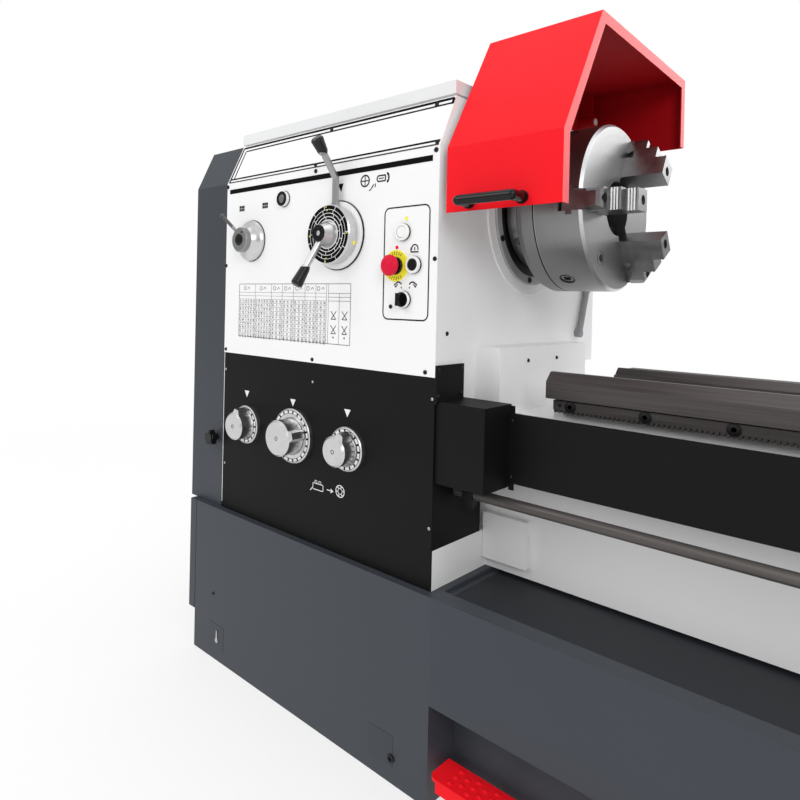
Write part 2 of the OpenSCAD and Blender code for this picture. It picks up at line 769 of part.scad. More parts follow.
module grooved_pulley(at, r) difference() {
    cyl_x(belt_x - belts * belt_pitch - 1, belt_x + 3, at[0], at[1], r + 1);
    for (i = [0 : belts - 1]) difference() {
        cyl_x(belt_x - i * belt_pitch - belt_w - gap, belt_x - i * belt_pitch + gap,
            at[0], at[1], r + 2);
        cyl_x(belt_x - i * belt_pitch - belt_w - 1, belt_x - i * belt_pitch + 1,
            at[0], at[1], r - belt_t);
    }
    // Hollow outer face
    difference() {
        cyl_x(belt_x - belts * belt_pitch - 2, belt_x - belts * belt_pitch + 14,
            at[0], at[1], r - belt_t - 8);
        cyl_x(belt_x - belts * belt_pitch - 3, belt_x - belts * belt_pitch + 15,
            at[0], at[1], 30);
    }
}

module drive_pulley() color("#6d7276") {
    grooved_pulley(pulley_at, pulley_r);
    cyl_x(belt_x, -head_len + shaft_seat - 5, pulley_at[0], pulley_at[1], pulley_shaft_r);
}

module motor_pulley() color("#6d7276") {
    grooved_pulley(motor_at, motor_pulley_r);
    cyl_x(belt_x, pit[1][0] + 55, motor_at[0], motor_at[1], motor_shaft_r);
}

// Shell, open towards the headstock and below, with an opening for bar stock
bar_hole_r = 62;
module end_outline(inset, low) polygon([
    [front + inset, low],
    [front + inset, eave_h],
    [roof_front + inset * 0.7, roof_h - inset],
    [head_back - 18 - inset * 0.7, roof_h - inset],
    [head_back - inset, roof_h - 19],
    [head_back - inset, low]]);
latch_at = [-head_len - 25, 544.6];
latch_r = 8;

module end_cover() color("#4b5560") difference() {
    union() {
        difference() {
            prism_x(-head_len - end_depth, -head_len - gap) end_outline(0, base_h + 0.5);
            prism_x(-head_len - end_depth + end_wall, -head_len + 1)
                end_outline(end_wall, base_h - 1);
        }
        // Knuckles above the ears of the headstock
        for (z = ears) {
            cyl_z(z + ear_h + gap, z + 2 * ear_h, hinge_at[0], hinge_at[1], ear_r);
            block([hinge_at[0] - 30, head_back - end_wall, z + ear_h + gap],
                [hinge_at[0] - 2, hinge_at[1] + 4, z + 2 * ear_h]);
        }
    }
    for (z = ears) cyl_z(z, z + 2 * ear_h + 1, hinge_at[0], hinge_at[1], pin_r + fit);
    cyl_x(-head_len - end_depth - 1, -head_len - end_depth + end_wall + 1, 0, spindle_h, bar_hole_r);
    cyl_y(front - 1, front + end_wall + 1, latch_at[0], latch_at[1], latch_r + fit);
}

// Star knob with its latch tongue
module latch_knob() color("#1f2022") {
    cyl_y(front - 12, front + end_wall + 6, latch_at[0], latch_at[1], latch_r);
    cyl_y(front - 26, front - 8, latch_at[0], latch_at[1], 13);
    for (a = [0 : 72 : 288]) cyl_y(front - 24, front - 10,
        latch_at[0] + 13 * sin(a), latch_at[1] + 13 * cos(a), 6);
    block([latch_at[0] - 9, front + end_wall + 1, latch_at[1] - 30],
        [latch_at[0] + 9, front + end_wall + 5, latch_at[1] + 6]);
}

// ------------------------------------------------------ spindle and chuck
spigot_r = 69.85;
spigot_len = 11;
cam_x = 27;
cams = 6;
cam_turn = 214;

module spindle() color("#8e9194") difference() {
    union() {
        turned_x(0, 0, spindle_h, [
            [spindle_bore_d / 2, -head_len - spindle_tail],
            [journal_d / 2 - 8, -head_len - spindle_tail],
            [journal_d / 2 - 8, -head_len - 40],
            [journal_d / 2 + 12, -head_len - 40],
            [journal_d / 2 + 12, -head_len - 12],
            [journal_d / 2, -head_len - 12],
            [journal_d / 2, 8],
            [nose_d / 2 - 2, 8], [nose_d / 2, 10],
            [nose_d / 2, nose_end - 1], [nose_d / 2 - 1, nose_end],
            [spigot_r, nose_end], [spigot_r - 1.5, nose_end + spigot_len],
            [spindle_bore_d / 2 + 5, nose_end + spigot_len],
            [spindle_bore_d / 2, nose_end - 60]]);
    }
    // Cam locks around the nose
    for (i = [0 : cams - 1]) translate([cam_x, 0, spindle_h])
        rotate([cam_turn + i * 360 / cams, 0, 0]) cyl_y(nose_d / 2 - 14, nose_d / 2 + 1, 0, 0, 9);
}

module chuck_backplate() color("#8e9194") difference() {
    turned_x(0, 0, spindle_h, [
        [chuck_bore_d / 2, chuck_x], [chuck_bore_d / 2, nose_end + spigot_len + 1],
        [spigot_r + fit - 1.5, nose_end + spigot_len + 1], [spigot_r + fit, nose_end],
        [chuck_d / 2 - 30, nose_end], [chuck_d / 2 - 17, nose_end + 3],
        [chuck_d / 2 - 5, nose_end + 11], [chuck_d / 2, nose_end + 22],
        [chuck_d / 2, chuck_x - 1.5], [chuck_d / 2 - 2, chuck_x - 1.5],
        [chuck_d / 2 - 2, chuck_x]]);
}

jaw_angles = [180, 60, 300];
guide_w = jaw_w + 14;
guide_low = chuck_face - 30;
guide_high = chuck_face - 18;
slot_floor = chuck_face - 44;
pinion_x = 125;
pinion_r = 15;
lift_hole = [125, 234];

module chuck_body() color("#8e9194") difference() {
    turned_x(0, 0, spindle_h, [
        [chuck_bore_d / 2, chuck_x], [chuck_d / 2 - 2, chuck_x],
        [chuck_d / 2 - 2, chuck_x + 1.5], [chuck_d / 2, chuck_x + 1.5],
        [chuck_d / 2, chuck_face - 5], [chuck_d / 2 - 5, chuck_face],
        [chuck_bore_d / 2, chuck_face]]);
    for (a = jaw_angles) translate([0, 0, spindle_h]) rotate([a, 0, 0]) {
        block([slot_floor, 0, -jaw_w / 2 - slip / 2], [chuck_face + 1, chuck_d, jaw_w / 2 + slip / 2]);
        block([guide_low, 0, -guide_w / 2 - slip / 2], [guide_high, chuck_d, guide_w / 2 + slip / 2]);
    }
    for (a = [0, 120, 240]) translate([0, 0, spindle_h]) rotate([a, 0, 0]) {
        // Key socket of a pinion and its surrounding recess
        difference() {
            cyl_y(chuck_d / 2 - 6, chuck_d / 2 + 1, pinion_x, 0, pinion_r);
            cyl_y(chuck_d / 2 - 7, chuck_d / 2 - 2, pinion_x, 0, pinion_r - 3);
        }
        block([pinion_x - 6.5, chuck_d / 2 - 26, -6.5], [pinion_x + 6.5, chuck_d / 2 + 1, 6.5]);
    }
    // Threaded hole for a lifting eye
    translate([0, 0, spindle_h]) rotate([lift_hole[1], 0, 0])
        cyl_x(chuck_face - 20, chuck_face + 1, lift_hole[0], 0, 7);
}

jaw_rise = 5;
jaw_len = 96;
top_w = 40;
land_x = [chuck_face + 35, chuck_face + 57, chuck_face + 77];
step_r = [42, 68];
serration = 1.6;
serration_pitch = 5;
jaw_screws = [[18, 2], [82, 0]];

// Grooved riser of a step, as points from low to high
function riser(r, x0, x1) = [for (i = [0 : floor((x1 - x0 - 4) / serration_pitch) - 1], k = [0 : 2])
    [r - [0, serration, 0][k], x0 + 3 + (i + [0, 0.5, 1][k]) * serration_pitch]];

// Stepped top jaw in the plane of its radius and the spindle axis
module top_jaw_outline(r0) polygon(concat(
    [[r0, chuck_face + jaw_rise], [r0, land_x[2]]],
    [[r0 + step_r[0] - 1, land_x[2]]],
    [for (p = riser(0, -land_x[2], -land_x[1])) [r0 + step_r[0] + p[0], -p[1]]],
    [[r0 + step_r[0], land_x[1]], [r0 + step_r[1] - 1, land_x[1]]],
    [for (p = riser(0, -land_x[1], -land_x[0])) [r0 + step_r[1] + p[0], -p[1]]],
    [[r0 + step_r[1], land_x[0]], [r0 + jaw_len - 8, land_x[0]],
        [r0 + jaw_len - 2, land_x[0] - 4], [r0 + jaw_len, land_x[0] - 11],
        [r0 + jaw_len, chuck_face + jaw_rise]]));

// Master jaw in its guideway with the top jaw screwed to it
module jaw(angle) translate([0, 0, spindle_h]) rotate([angle, 0, 0]) {
    r0 = jaw_grip_r;
    difference() {
        union() {
            block([slot_floor + 4, r0, -jaw_w / 2], [chuck_face + jaw_rise, r0 + jaw_len - 4, jaw_w / 2]);
            block([guide_low + slip, r0, -guide_w / 2], [guide_high - slip, r0 + jaw_len - 4, guide_w / 2]);
        }
        // Cross keyway
        block([chuck_face - 1, r0 + 50, -guide_w], [chuck_face + jaw_rise + 1, r0 + 62, guide_w]);
    }
    difference() {
        translate([0, 0, -top_w / 2]) linear_extrude(top_w) mirror([1, 0]) rotate(90)
            top_jaw_outline(r0);
        block([chuck_face, r0 + 48, -guide_w], [chuck_face + jaw_rise + 8, r0 + 64, guide_w]);
        for (s = jaw_screws) cyl_x(land_x[s[1]] - 16, land_x[s[1]] + 1, r0 + s[0], 0, 9);
        // Chamfers of the outer end
        for (s = [-1, 1]) prism_x(chuck_face, land_x[0] + 1) polygon([
            [r0 + jaw_len - 11, s * top_w / 2], [r0 + jaw_len + 1, s * (top_w / 2 - 7)],
            [r0 + jaw_len + 1, s * (top_w / 2 + 1)], [r0 + jaw_len - 11, s * (top_w / 2 + 1)]]);
    }
}

module jaw_1() color("#a2a4a6") jaw(jaw_angles[0]);
module jaw_2() color("#a2a4a6") jaw(jaw_angles[1]);
module jaw_3() color("#a2a4a6") jaw(jaw_angles[2]);

// ------------------------------------------------------------ chuck guard
guard_x = 16;
guard_end = guard_x + guard_w;
guard_front = front + 1.5;
guard_back = 227;
guard_line = [[guard_front, guard_low_h], [guard_front, guard_fold_h], [-199, guard_ridge_h],
    [guard_back, guard_ridge_h - 13], [guard_back, guard_ridge_h - 156]];
flange_w = 18;
sleeve_r = 14;

module chuck_guard() color("#d51d1d") {
    prism_x(guard_x, guard_end) band(guard_line, -guard_t / 2, guard_t / 2);
    // Return flange along the chuck-side edge
    prism_x(guard_end - guard_t, guard_end) band(guard_line, 0, flange_w);
    // Hinge sleeve and the arm that carries the sheet
    difference() {
        union() {
            cyl_x(12, 56, arm_at[0], pivot_h, sleeve_r);
            block([20, arm_at[0] - 4, pivot_h], [50, arm_at[0] + 4, guard_ridge_h - 12]);
        }
        cyl_x(11, 57, arm_at[0], pivot_h, pivot_r + fit);
    }
}

module guard_handle() color("#1f2022") {
    ends = [64, 164];
    y = front - 34;
    z = guard_low_h + 14;
    r = 9;
    for (x = ends) {
        cyl_y(y, front, x, z, r);
        cyl_y(front - 4, front, x, z, r + 2);
        translate([x, y, z]) sphere(r);
    }
    cyl_x(ends[0], ends[1], y, z, r);
}

// --------------------------------------------------------------- controls
module range_lever() color("#b9bcbe") {
    // Drum with its long lever
    turned_y(drum_at[0], front, drum_at[1], [
        [0, -seat_depth + 2], [collar_r, -seat_depth + 2],
        [collar_r, base_ring_t + gap], [drum_d / 2 - 3, base_ring_t + gap],
        [drum_d / 2, base_ring_t + gap + 3], [drum_d / 2, 29], [drum_d / 2 - 4, 33],
        [stem_r + fit, 33], [stem_r + fit, stem_start - gap], [0, stem_start - gap]]);
    // Flat bar, bent away from the panel, with a turned grip
    bend = [drum_at[0], front - 12, 1148];
    tip = [drum_at[0], front - 70, 1221];
    bar = [15, 5];
    block([bend[0] - bar[0] / 2, bend[1] - bar[1] / 2, drum_at[1] + drum_d / 2 - 8],
        bend + [bar[0] / 2, bar[1] / 2, 0]);
    translate(bend) rotate([atan2(bend[1] - tip[1], tip[2] - bend[2]), 0, 0]) {
        translate([-bar[0] / 2, -bar[1] / 2, -2]) cube([bar[0], bar[1], 66]);
        translate([0, 0, 57]) grip(13.5, norm(tip - bend) - 57);
    }
}

module speed_lever() color("#b9bcbe") {
    turned_y(drum_at[0], front, drum_at[1], [
        [0, stem_start], [stem_r, stem_start], [stem_r, 33 + gap],
        [25, 33 + gap], [25, 40], [17, 58], [0, 60]]);
    root = [drum_at[0] - 2, front - 46, drum_at[1] - 8];
    tip = [drum_at[0] - 20, front - 98, 925];
    lever(root, tip, 7, 12.5, 0.4);
}

module direction_knob() color("#b9bcbe") {
    turned_y(knob_at[0], front, knob_at[1], [
        [0, -seat_depth + 2], [stem_r, -seat_depth + 2], [stem_r, gap],
        [48, gap], [48, 6], [45, 9], [24, 12], [22, 22], [29, 26],
        [29, 37], [26, 40], [0, 40]]);
    rod([knob_at[0] - 20, front - 31, knob_at[1] + 20], [knob_at[0] - 62, front - 44, knob_at[1] + 60], 4);
    translate([knob_at[0] - 62, front - 44, knob_at[1] + 60]) sphere(6);
}

// Graduated dial with a nosed grip
module feed_dial(x, d, grip_r, grip_f, turn) {
    turned_y(x, front, dial_h, [
        [0, -seat_depth + 2], [stem_r, -seat_depth + 2], [stem_r, gap],
        [d / 2, gap], [d / 2, 10], [d / 2 - 2, 12], [grip_r + 2, 12],
        [grip_r, 16], [grip_r, grip_f - 4], [grip_r - 4, grip_f], [0, grip_f]]);
    prism_y(front - grip_f + 4, front - 14) translate([x, dial_h]) rotate(-turn)
        polygon([[-grip_r * 0.8, 0], [-7, grip_r + 9], [7, grip_r + 9], [grip_r * 0.8, 0]]);
}

module feed_dial_left() color("#9a9da0") feed_dial(dial_x - dial_pitch, dial_d, 32, 48, 12);
module feed_dial_middle() color("#9a9da0") feed_dial(dial_x, big_dial_d, 39, 54, 76);
module feed_dial_right() color("#9a9da0") feed_dial(dial_x + dial_pitch, dial_d, 31, 48, 25);

module estop_button() color("#d51d1d") turned_y(stop_at[0], front, stop_at[1], [
    [0, -20], [button_r, -20], [button_r, 13], [stop_d / 2 - 2, 15], [stop_d / 2, 18],
    [stop_d / 2, 22], [stop_d / 2 - 5, 26], [0, 28]]);

module push_button(at) turned_y(at[0], front, at[1], [
    [0, -20], [button_r, -20], [button_r, 7], [button_r - 1.5, 8.5], [0, 8.5]]);

module start_button() color("#f2f2f2") push_button(start_at);
module jog_button() color("#1f2022") push_button(jog_at);

module mode_selector() color("#1f2022") {
    turned_y(mode_at[0], front, mode_at[1], [
        [0, -seat_depth + 2], [button_r, -seat_depth + 2], [button_r, bezel_t + gap],
        [bezel_r - 1, bezel_t + gap], [bezel_r - 1, 9], [0, 9]]);
    block([mode_at[0] - 4, front - 22, mode_at[1] - 12], [mode_at[0] + 4, front - 8, mode_at[1] + 12]);
}

tread_start = 48;
tread_t = 5;
brake_arms = 5;
module brake_pedal() color("#d51d1d") {
    tread_y = front - tread_w;
    tread_end = foot_start - 40;
    // Long tread with a rounded end and a turned-down lip
    prism_z(tread_h - tread_t, tread_h) {
        translate([tread_start + 14, tread_y]) square([tread_end - tread_start - 14, tread_w]);
        translate([tread_start, tread_y + 14]) square([20, tread_w - 14]);
        translate([tread_start + 14, tread_y + 14]) circle(14);
    }
    block([tread_start + 14, tread_y, tread_h - 22], [tread_end, tread_y + 4, tread_h - 1]);
    cyl_x(base_lap - 22, foot_start + 22, brake_y, brake_h, brake_r);
    for (i = [0 : brake_arms - 1]) {
        x = 120 + i * (tread_end - 240) / (brake_arms - 1);
        prism_x(x - 6, x + 6) polygon([[brake_y + 14, brake_h - 12], [brake_y + 14, brake_h + 3],
            [front - 3, tread_h - 5], [tread_y + 6, tread_h - 4], [tread_y + 6, tread_h - 14],
            [front - 12, tread_h - 26], [brake_y - 14, brake_h - 12]]);
    }
}

// ------------------------------------------------------------- feed shafts
shaft_end = bracket_x + bracket_len + 12;
module feed_shaft(y, z, r) {
    cyl_x(-shaft_seat + 5, shaft_end - 2, y, z, r);
    cyl_x(shaft_end - 2, shaft_end, y, z, r, r - 2);
    cyl_x(bracket_x + bracket_len + gap, bracket_x + bracket_len + 8, y, z, r + 3);
}

module leadscrew() color("#9a8f84") feed_shaft(screw_y, leadscrew_h, leadscrew_d / 2);
module feed_rod() color("#9a8f84") feed_shaft(screw_y, feedrod_h, feedrod_d / 2);
module control_rod() color("#9a8f84") {
    feed_shaft(control_y, control_h, control_d / 2);
    // Switch lever near the headstock
    prism_x(20, 42) polygon([[control_y - 12, control_h + 4], [control_y + 12, control_h + 4],
        [control_y + 9, control_h - 13], [control_y - 2, control_h - 25], [control_y - 9, control_h - 25]]);
}

// --------------------------------------------------------------- carriage
way_lift = 1.5 * slip;
lever_room = 19;
saddle_front = front - 12;
saddle_back = 330;
lip_y = -way_half - 32;
apron_top = way_h + 19;
apron_low = control_h - 45;
keeper_low = overhang_h - 14;
apron_back = -way_half - 4;
wing_top = way_h + wing_t;
dove_h = 20;
dove_flare = 10;
cross_dove_w = 130;
top_dove_w = 76;
cross_screw_h = 798;
handle_shaft_r = 9;

// Outline of a dovetail guide, and of the groove that slides on it
module dovetail(w) polygon([[-w / 2, -1], [-w / 2, 0], [-w / 2 - dove_flare, dove_h],
    [w / 2 + dove_flare, dove_h], [w / 2, 0], [w / 2, -1]]);
module dove_groove(w) polygon([[-w / 2 - slip, 0], [-w / 2 - dove_flare - slip, dove_h + slip],
    [w / 2 + dove_flare + slip, dove_h + slip], [w / 2 + slip, 0]]);

module rails_lifted() translate([0, way_lift]) {
    front_rail();
    rear_rail();
}

// H-shaped saddle that spans the ways, with the cross guide on its bridge
module saddle() color("#4b5560") difference() {
    union() {
        prism_x(carriage_x - saddle_len / 2, carriage_x + saddle_len / 2) difference() {
            union() {
                translate([lip_y, way_h]) square([-2 * lip_y, wing_t]);
                translate([way_half + 1, keeper_low])
                    square([-lip_y - way_half - 1, way_h + 16 - keeper_low]);
                translate([wall_half + 4, keeper_low]) square([-lip_y - wall_half - 4, 13]);
            }
            rails_lifted();
            translate([-way_half - 4, way_h - 1]) square([wall_half * 2 + 8, 1.4]);
            translate([-137, way_h - 1]) square([way_half - 41 + 137, 23]);
            translate([lip_y - 1, way_h - 1]) square([apron_back - lip_y + 1, apron_top - way_h + 1]);
        }
        block([carriage_x - bridge_w / 2, saddle_front, apron_top], [carriage_x + bridge_w / 2,
            lip_y + 1, bridge_h]);
        block([carriage_x - bridge_w / 2, lip_y, way_h + 24], [carriage_x + bridge_w / 2,
            saddle_back, bridge_h]);
        block([carriage_x - apron_len / 2, saddle_front, apron_top], [carriage_x + apron_len / 2,
            lip_y + 1, wing_top]);
        // Dovetail guide of the cross slide
        prism_y(saddle_front, saddle_back) translate([carriage_x, bridge_h])
            dovetail(cross_dove_w);
    }
    // Open corners between wings and bridge
    for (s = [-1, 1]) prism_z(keeper_low - 10, bridge_h + 1)
        translate([carriage_x + s * (bridge_w / 2 + saddle_len / 4 + 30), 0])
            soft_rect(saddle_len / 2 + 60, 2 * rail_inner, 35);
    cyl_y(saddle_front - 1, saddle_front + 50, carriage_x, cross_screw_h, handle_shaft_r + fit);
}

handle_reach = 160;
wheel_at = [carriage_x - handle_reach, leadscrew_h - 25];
nut_lever_at = [carriage_x + handle_reach, leadscrew_h - 25];
feed_lever_at = [carriage_x + 20, feedrod_h - 5];

// Gear case in front of the feed shafts, hung from the saddle above the shield
module apron() color("#4b5560") difference() {
    prism_x(carriage_x - apron_len / 2, carriage_x + apron_len / 2) polygon([
        [saddle_front, apron_low + 25], [saddle_front + 18, apron_low],
        [control_y - lever_room, apron_low], [control_y - lever_room, shield_high_h + 9],
        [apron_back, shield_high_h + 9], [apron_back, apron_top], [saddle_front, apron_top]]);
    for (at = [wheel_at, nut_lever_at, feed_lever_at])
        cyl_y(saddle_front - 1, saddle_front + 45, at[0], at[1], handle_shaft_r + fit);
}

// Handwheel in its own frame: axis along +Z, face up, at height h
module handwheel(r, h) {
    cylinder(h = h + 8, r = 22);
    translate([0, 0, h]) rotate_extrude() translate([r - 9, 0]) circle(9);
    for (a = [0, 120, 240]) rotate([0, 0, a]) rod([15, 0, h - 2], [r - 10, 0, h], 7, 6);
    translate([r - 9, 0, h]) {
        cylinder(h = 20, r = 6);
        translate([0, 0, 18]) cylinder(h = 45, r1 = 9, r2 = 12);
        translate([0, 0, 63]) sphere(12);
    }
}

module carriage_handwheel() color("#9a9da0") translate([wheel_at[0], saddle_front, wheel_at[1]])
    rotate([90, 0, 0]) {
        translate([0, 0, -40]) cylinder(h = 41, r = handle_shaft_r);
        translate([0, 0, gap]) cylinder(h = 24, r = 42);
        rotate([0, 0, 200]) handwheel(carriage_wheel_d / 2, 44);
    }

// Lever with a hub on the apron, arm along the given direction
module apron_lever(at, angle, length) translate([at[0], saddle_front, at[1]]) rotate([90, 0, 0]) {
    translate([0, 0, -40]) cylinder(h = 41, r = handle_shaft_r);
    translate([0, 0, gap]) cylinder(h = 30, r1 = 24, r2 = 20);
    rotate([0, 0, angle]) rod([12, 0, 20], [length - 30, 0, 34], 7, 6);
    rotate([0, 0, angle]) translate([length - 18, 0, 36]) sphere(17);
}

module half_nut_lever() color("#9a9da0") apron_lever(nut_lever_at, 60, 120);
module feed_lever() color("#9a9da0") apron_lever(feed_lever_at, -60, 110);

lever_x = carriage_x + apron_len / 2 + 2;
module start_lever() color("#9a9da0") difference() {
    union() {
        cyl_x(lever_x, lever_x + 30, control_y, control_h, 24);
        rod([lever_x + 15, control_y - 15, control_h], [lever_x + 40, control_y - 120, control_h + 10], 8, 7);
        lever([lever_x + 38, control_y - 112, control_h + 9],
            [lever_x + 60, control_y - 190, control_h + 16], 7, 14, 0.9);
    }
    cyl_x(lever_x - 1, lever_x + 31, control_y, control_h, control_d / 2 + fit);
}

cross_y = -30;
swivel_at = [carriage_x - 20, -90];
swivel_pin_r = 20;
module cross_slide() color("#4b5560") difference() {
    block([carriage_x - cross_w / 2, cross_y - cross_len / 2, bridge_h + slip],
        [carriage_x + cross_w / 2, cross_y + cross_len / 2, cross_h]);
    prism_y(cross_y - cross_len, cross_y + cross_len) translate([carriage_x, bridge_h])
        dove_groove(cross_dove_w);
    // T slots behind the compound
    for (y = [70, 150]) {
        block([carriage_x - cross_w, y - 7, cross_h - 20], [carriage_x + cross_w, y + 7, cross_h + 1]);
        block([carriage_x - cross_w, y - 12, cross_h - 21], [carriage_x + cross_w, y + 12, cross_h - 11]);
    }
    cyl_z(cross_h - 25, cross_h + 1, swivel_at[0], swivel_at[1], swivel_pin_r + fit);
}

// Dial with a balanced crank, in a frame with its axis along +Z
module crank(r) {
    translate([0, 0, 4 + gap]) cylinder(h = 26, r = 34);
    translate([0, 0, 30]) cylinder(h = 16, r = 16);
    rod([-r * 0.5, 0, 40], [r, 0, 46], 8, 7);
    translate([-r * 0.5, 0, 40]) sphere(13);
    translate([r, 0, 40]) {
        sphere(12);
        cylinder(h = 18, r = 6);
        translate([0, 0, 16]) cylinder(h = 38, r1 = 8, r2 = 11);
        translate([0, 0, 54]) sphere(11);
    }
}

module cross_handle() color("#9a9da0") translate([carriage_x, saddle_front, cross_screw_h])
    rotate([90, 0, 0]) {
        translate([0, 0, -45]) cylinder(h = 50, r = handle_shaft_r);
        rotate([0, 0, 75]) crank(75);
    }

compound_y = swivel_at[1];
guide_top = cross_h + 75;
module compound_base() color("#4b5560") {
    cyl_z(cross_h - 24, cross_h + 1, swivel_at[0], swivel_at[1], swivel_pin_r);
    cyl_z(cross_h + gap, cross_h + 28, swivel_at[0], swivel_at[1], swivel_d / 2);
    block([swivel_at[0] - 115, compound_y - 62, cross_h + 27],
        [swivel_at[0] + 58, compound_y + 62, guide_top - dove_h]);
    prism_x(swivel_at[0] - 115, swivel_at[0] + 58) translate([compound_y, guide_top - dove_h])
        dovetail(top_dove_w);
}

slide_x = swivel_at[0] + 10;
slide_w = 140;
post_at = [swivel_at[0] - 45, compound_y];
stud_r = 14;
post_top = spindle_h + 40;
post_floor = spindle_h - 32;
post_low = compound_h + gap;

module compound_slide() color("#4b5560") {
    difference() {
        block([slide_x - compound_len / 2, compound_y - slide_w / 2, guide_top - dove_h + slip],
            [slide_x + compound_len / 2, compound_y + slide_w / 2, compound_h]);
        prism_x(slide_x - compound_len, slide_x + compound_len)
            translate([compound_y, guide_top - dove_h]) dove_groove(top_dove_w);
        cyl_x(slide_x + compound_len / 2 - 45, slide_x + compound_len / 2 + 1, compound_y,
            guide_top + 22, handle_shaft_r + fit);
    }
    // Clamping stud of the tool post
    cyl_z(compound_h - 1, post_top + 46, post_at[0], post_at[1], stud_r);
}

module compound_handle() color("#9a9da0")
    translate([slide_x + compound_len / 2, compound_y, guide_top + 22]) rotate([0, 90, 0]) {
        translate([0, 0, -40]) cylinder(h = 45, r = handle_shaft_r);
        rotate([0, 0, 60]) crank(55);
    }

core_w = 84;
post_bolts = 3;
module tool_post() color("#6d7276") difference() {
    translate([post_at[0], post_at[1], post_low]) {
        difference() {
            translate([-post_w / 2, -post_w / 2, 0]) cube([post_w, post_w, post_top - post_low]);
            // Slot around the core, for the tools
            translate([0, 0, post_floor - post_low]) linear_extrude(slot_h) difference() {
                square(post_w + 2, center = true);
                square(core_w, center = true);
            }
            for (i = [0 : post_bolts - 1], a = [0 : 90 : 270]) rotate([0, 0, a])
                translate([-post_w / 2 + 18 + i * 44, -post_w / 2 + 17, post_top - post_low - 8])
                    cylinder(h = 9, r = 9);
        }
    }
    cyl_z(post_low - 1, post_top + 1, post_at[0], post_at[1], stud_r + fit);
}

module tool_post_lever() color("#9a9da0") difference() {
    hub = [post_at[0], post_at[1] - 10, post_top + 22];
    ball = hub + [42, -126, 40];
    union() {
        cyl_z(post_top + gap, post_top + 34, post_at[0], post_at[1], 28, 22);
        rod(hub, ball + [-2, 6, -2], 8, 7);
        translate(ball) sphere(18);
    }
    cyl_z(post_top, post_top + 62, post_at[0], post_at[1], stud_r + fit);
}

// -------------------------------------------------------------- tailstock
centre_ref = 125;
centre_len = 110;
quill_nose = centre_ref + centre_distance + centre_len;
barrel_x = quill_nose + 50;
barrel_end = barrel_x + barrel_len;
tail_x = barrel_x + barrel_len / 2;
quill_len = 330;
taper_len = 130;
taper_r = 22.2;
screw_r = 12;
rear_wall = 40;
tail_base_h = 812;
tail_front = 130;
tail_back = 140;

module tailstock() color("#eceded") difference() {
    union() {
        // Base on the inner ways
        prism_x(tail_x - tail_len / 2, tail_x + tail_len / 2) difference() {
            polygon([[-tail_front, way_h], [-tail_front, tail_base_h - 22],
                [18 - tail_front, tail_base_h], [tail_back - 18, tail_base_h],
                [tail_back, tail_base_h - 20], [tail_back, way_h]]);
            rails_lifted();
            translate([-rail_inner, way_h - 1]) square([rail_inner * 2, 20]);
            translate([-tail_front - 1, way_h - 1]) square([80, 1.4]);
        }
        // Tapering upright
        prism_x(tail_x - tail_len / 2 + 30, tail_x + tail_len / 2 - 60) polygon([
            [-105, tail_base_h - 2], [-70, 900], [-barrel_d / 2 + 14, spindle_h],
            [barrel_d / 2 - 14, spindle_h], [70, 900], [105, tail_base_h - 2]]);
        cyl_x(barrel_x + 4, barrel_end, 0, spindle_h, barrel_d / 2);
        cyl_x(barrel_x, barrel_x + 4, 0, spindle_h, barrel_d / 2 - 4, barrel_d / 2);
        cyl_z(spindle_h, spindle_h + barrel_d / 2 + 8, barrel_x + 60, 0, 26);
    }
    cyl_x(barrel_x - 1, barrel_end - rear_wall, 0, spindle_h, quill_d / 2 + fit);
    cyl_x(barrel_x, barrel_end + 1, 0, spindle_h, screw_r + fit);
    cyl_z(spindle_h + barrel_d / 2 - 25, spindle_h + barrel_d / 2 + 9, barrel_x + 60, 0,
        handle_shaft_r + fit);
}

module quill() color("#9a9da0") turned_x(0, 0, spindle_h, [
    [taper_r, quill_nose], [quill_d / 2 - 2, quill_nose], [quill_d / 2, quill_nose + 2],
    [quill_d / 2, quill_nose + quill_len], [screw_r + 1, quill_nose + quill_len],
    [screw_r + 1, quill_nose + taper_len], [taper_r - 3.4, quill_nose + taper_len]]);

module tailstock_handwheel() color("#9a9da0") translate([barrel_end, 0, spindle_h])
    rotate([0, 90, 0]) {
        translate([0, 0, -(barrel_end - quill_nose) + taper_len + 20])
            cylinder(h = barrel_end - quill_nose - taper_len - 18, r = screw_r);
        translate([0, 0, gap]) cylinder(h = 22, r = 45);
        rotate([0, 0, 140]) handwheel(tail_wheel_d / 2, 40);
    }

module quill_lock() color("#1f2022") {
    z = spindle_h + barrel_d / 2 + 8 + gap;
    hub = [barrel_x + 60, -8, z + 16];
    ball = hub + [-21, -108, 36];
    cyl_z(z - 30, z + 1, hub[0], 0, handle_shaft_r);
    cyl_z(z, z + 26, hub[0], 0, 22, 18);
    rod(hub, ball + [1, 6, -2], 7, 6);
    translate(ball) sphere(15);
}

// ------------------------------------------------------------------ output
left_pedestal();
bed_supports();
chip_tray();
bed();
rack();
headstock();
headstock_cover();
feed_gearbox();
gear_bracket();
v_belts();
bearing_cap();
leadscrew_cover();
conduit();
tail_bracket();
end_cover();
latch_knob();
spindle();
chuck_backplate();
chuck_body();
jaw_1();
jaw_2();
jaw_3();
drive_pulley();
motor_pulley();
stud_gear();
idler_gear();
screw_gear();
chuck_guard();
guard_handle();
range_lever();
speed_lever();
direction_knob();
feed_dial_left();
feed_dial_middle();
feed_dial_right();
estop_button();
start_button();
jog_button();
mode_selector();
brake_pedal();
leadscrew();
feed_rod();
control_rod();
start_lever();
saddle();
apron();
carriage_handwheel();
half_nut_lever();
feed_lever();
cross_slide();
cross_handle();
compound_base();
compound_slide();
compound_handle();
tool_post();
tool_post_lever();
tailstock();
quill();
tailstock_handwheel();
quill_lock();
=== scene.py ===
"""Looks of the engine lathe: finishes, prints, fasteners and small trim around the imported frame."""

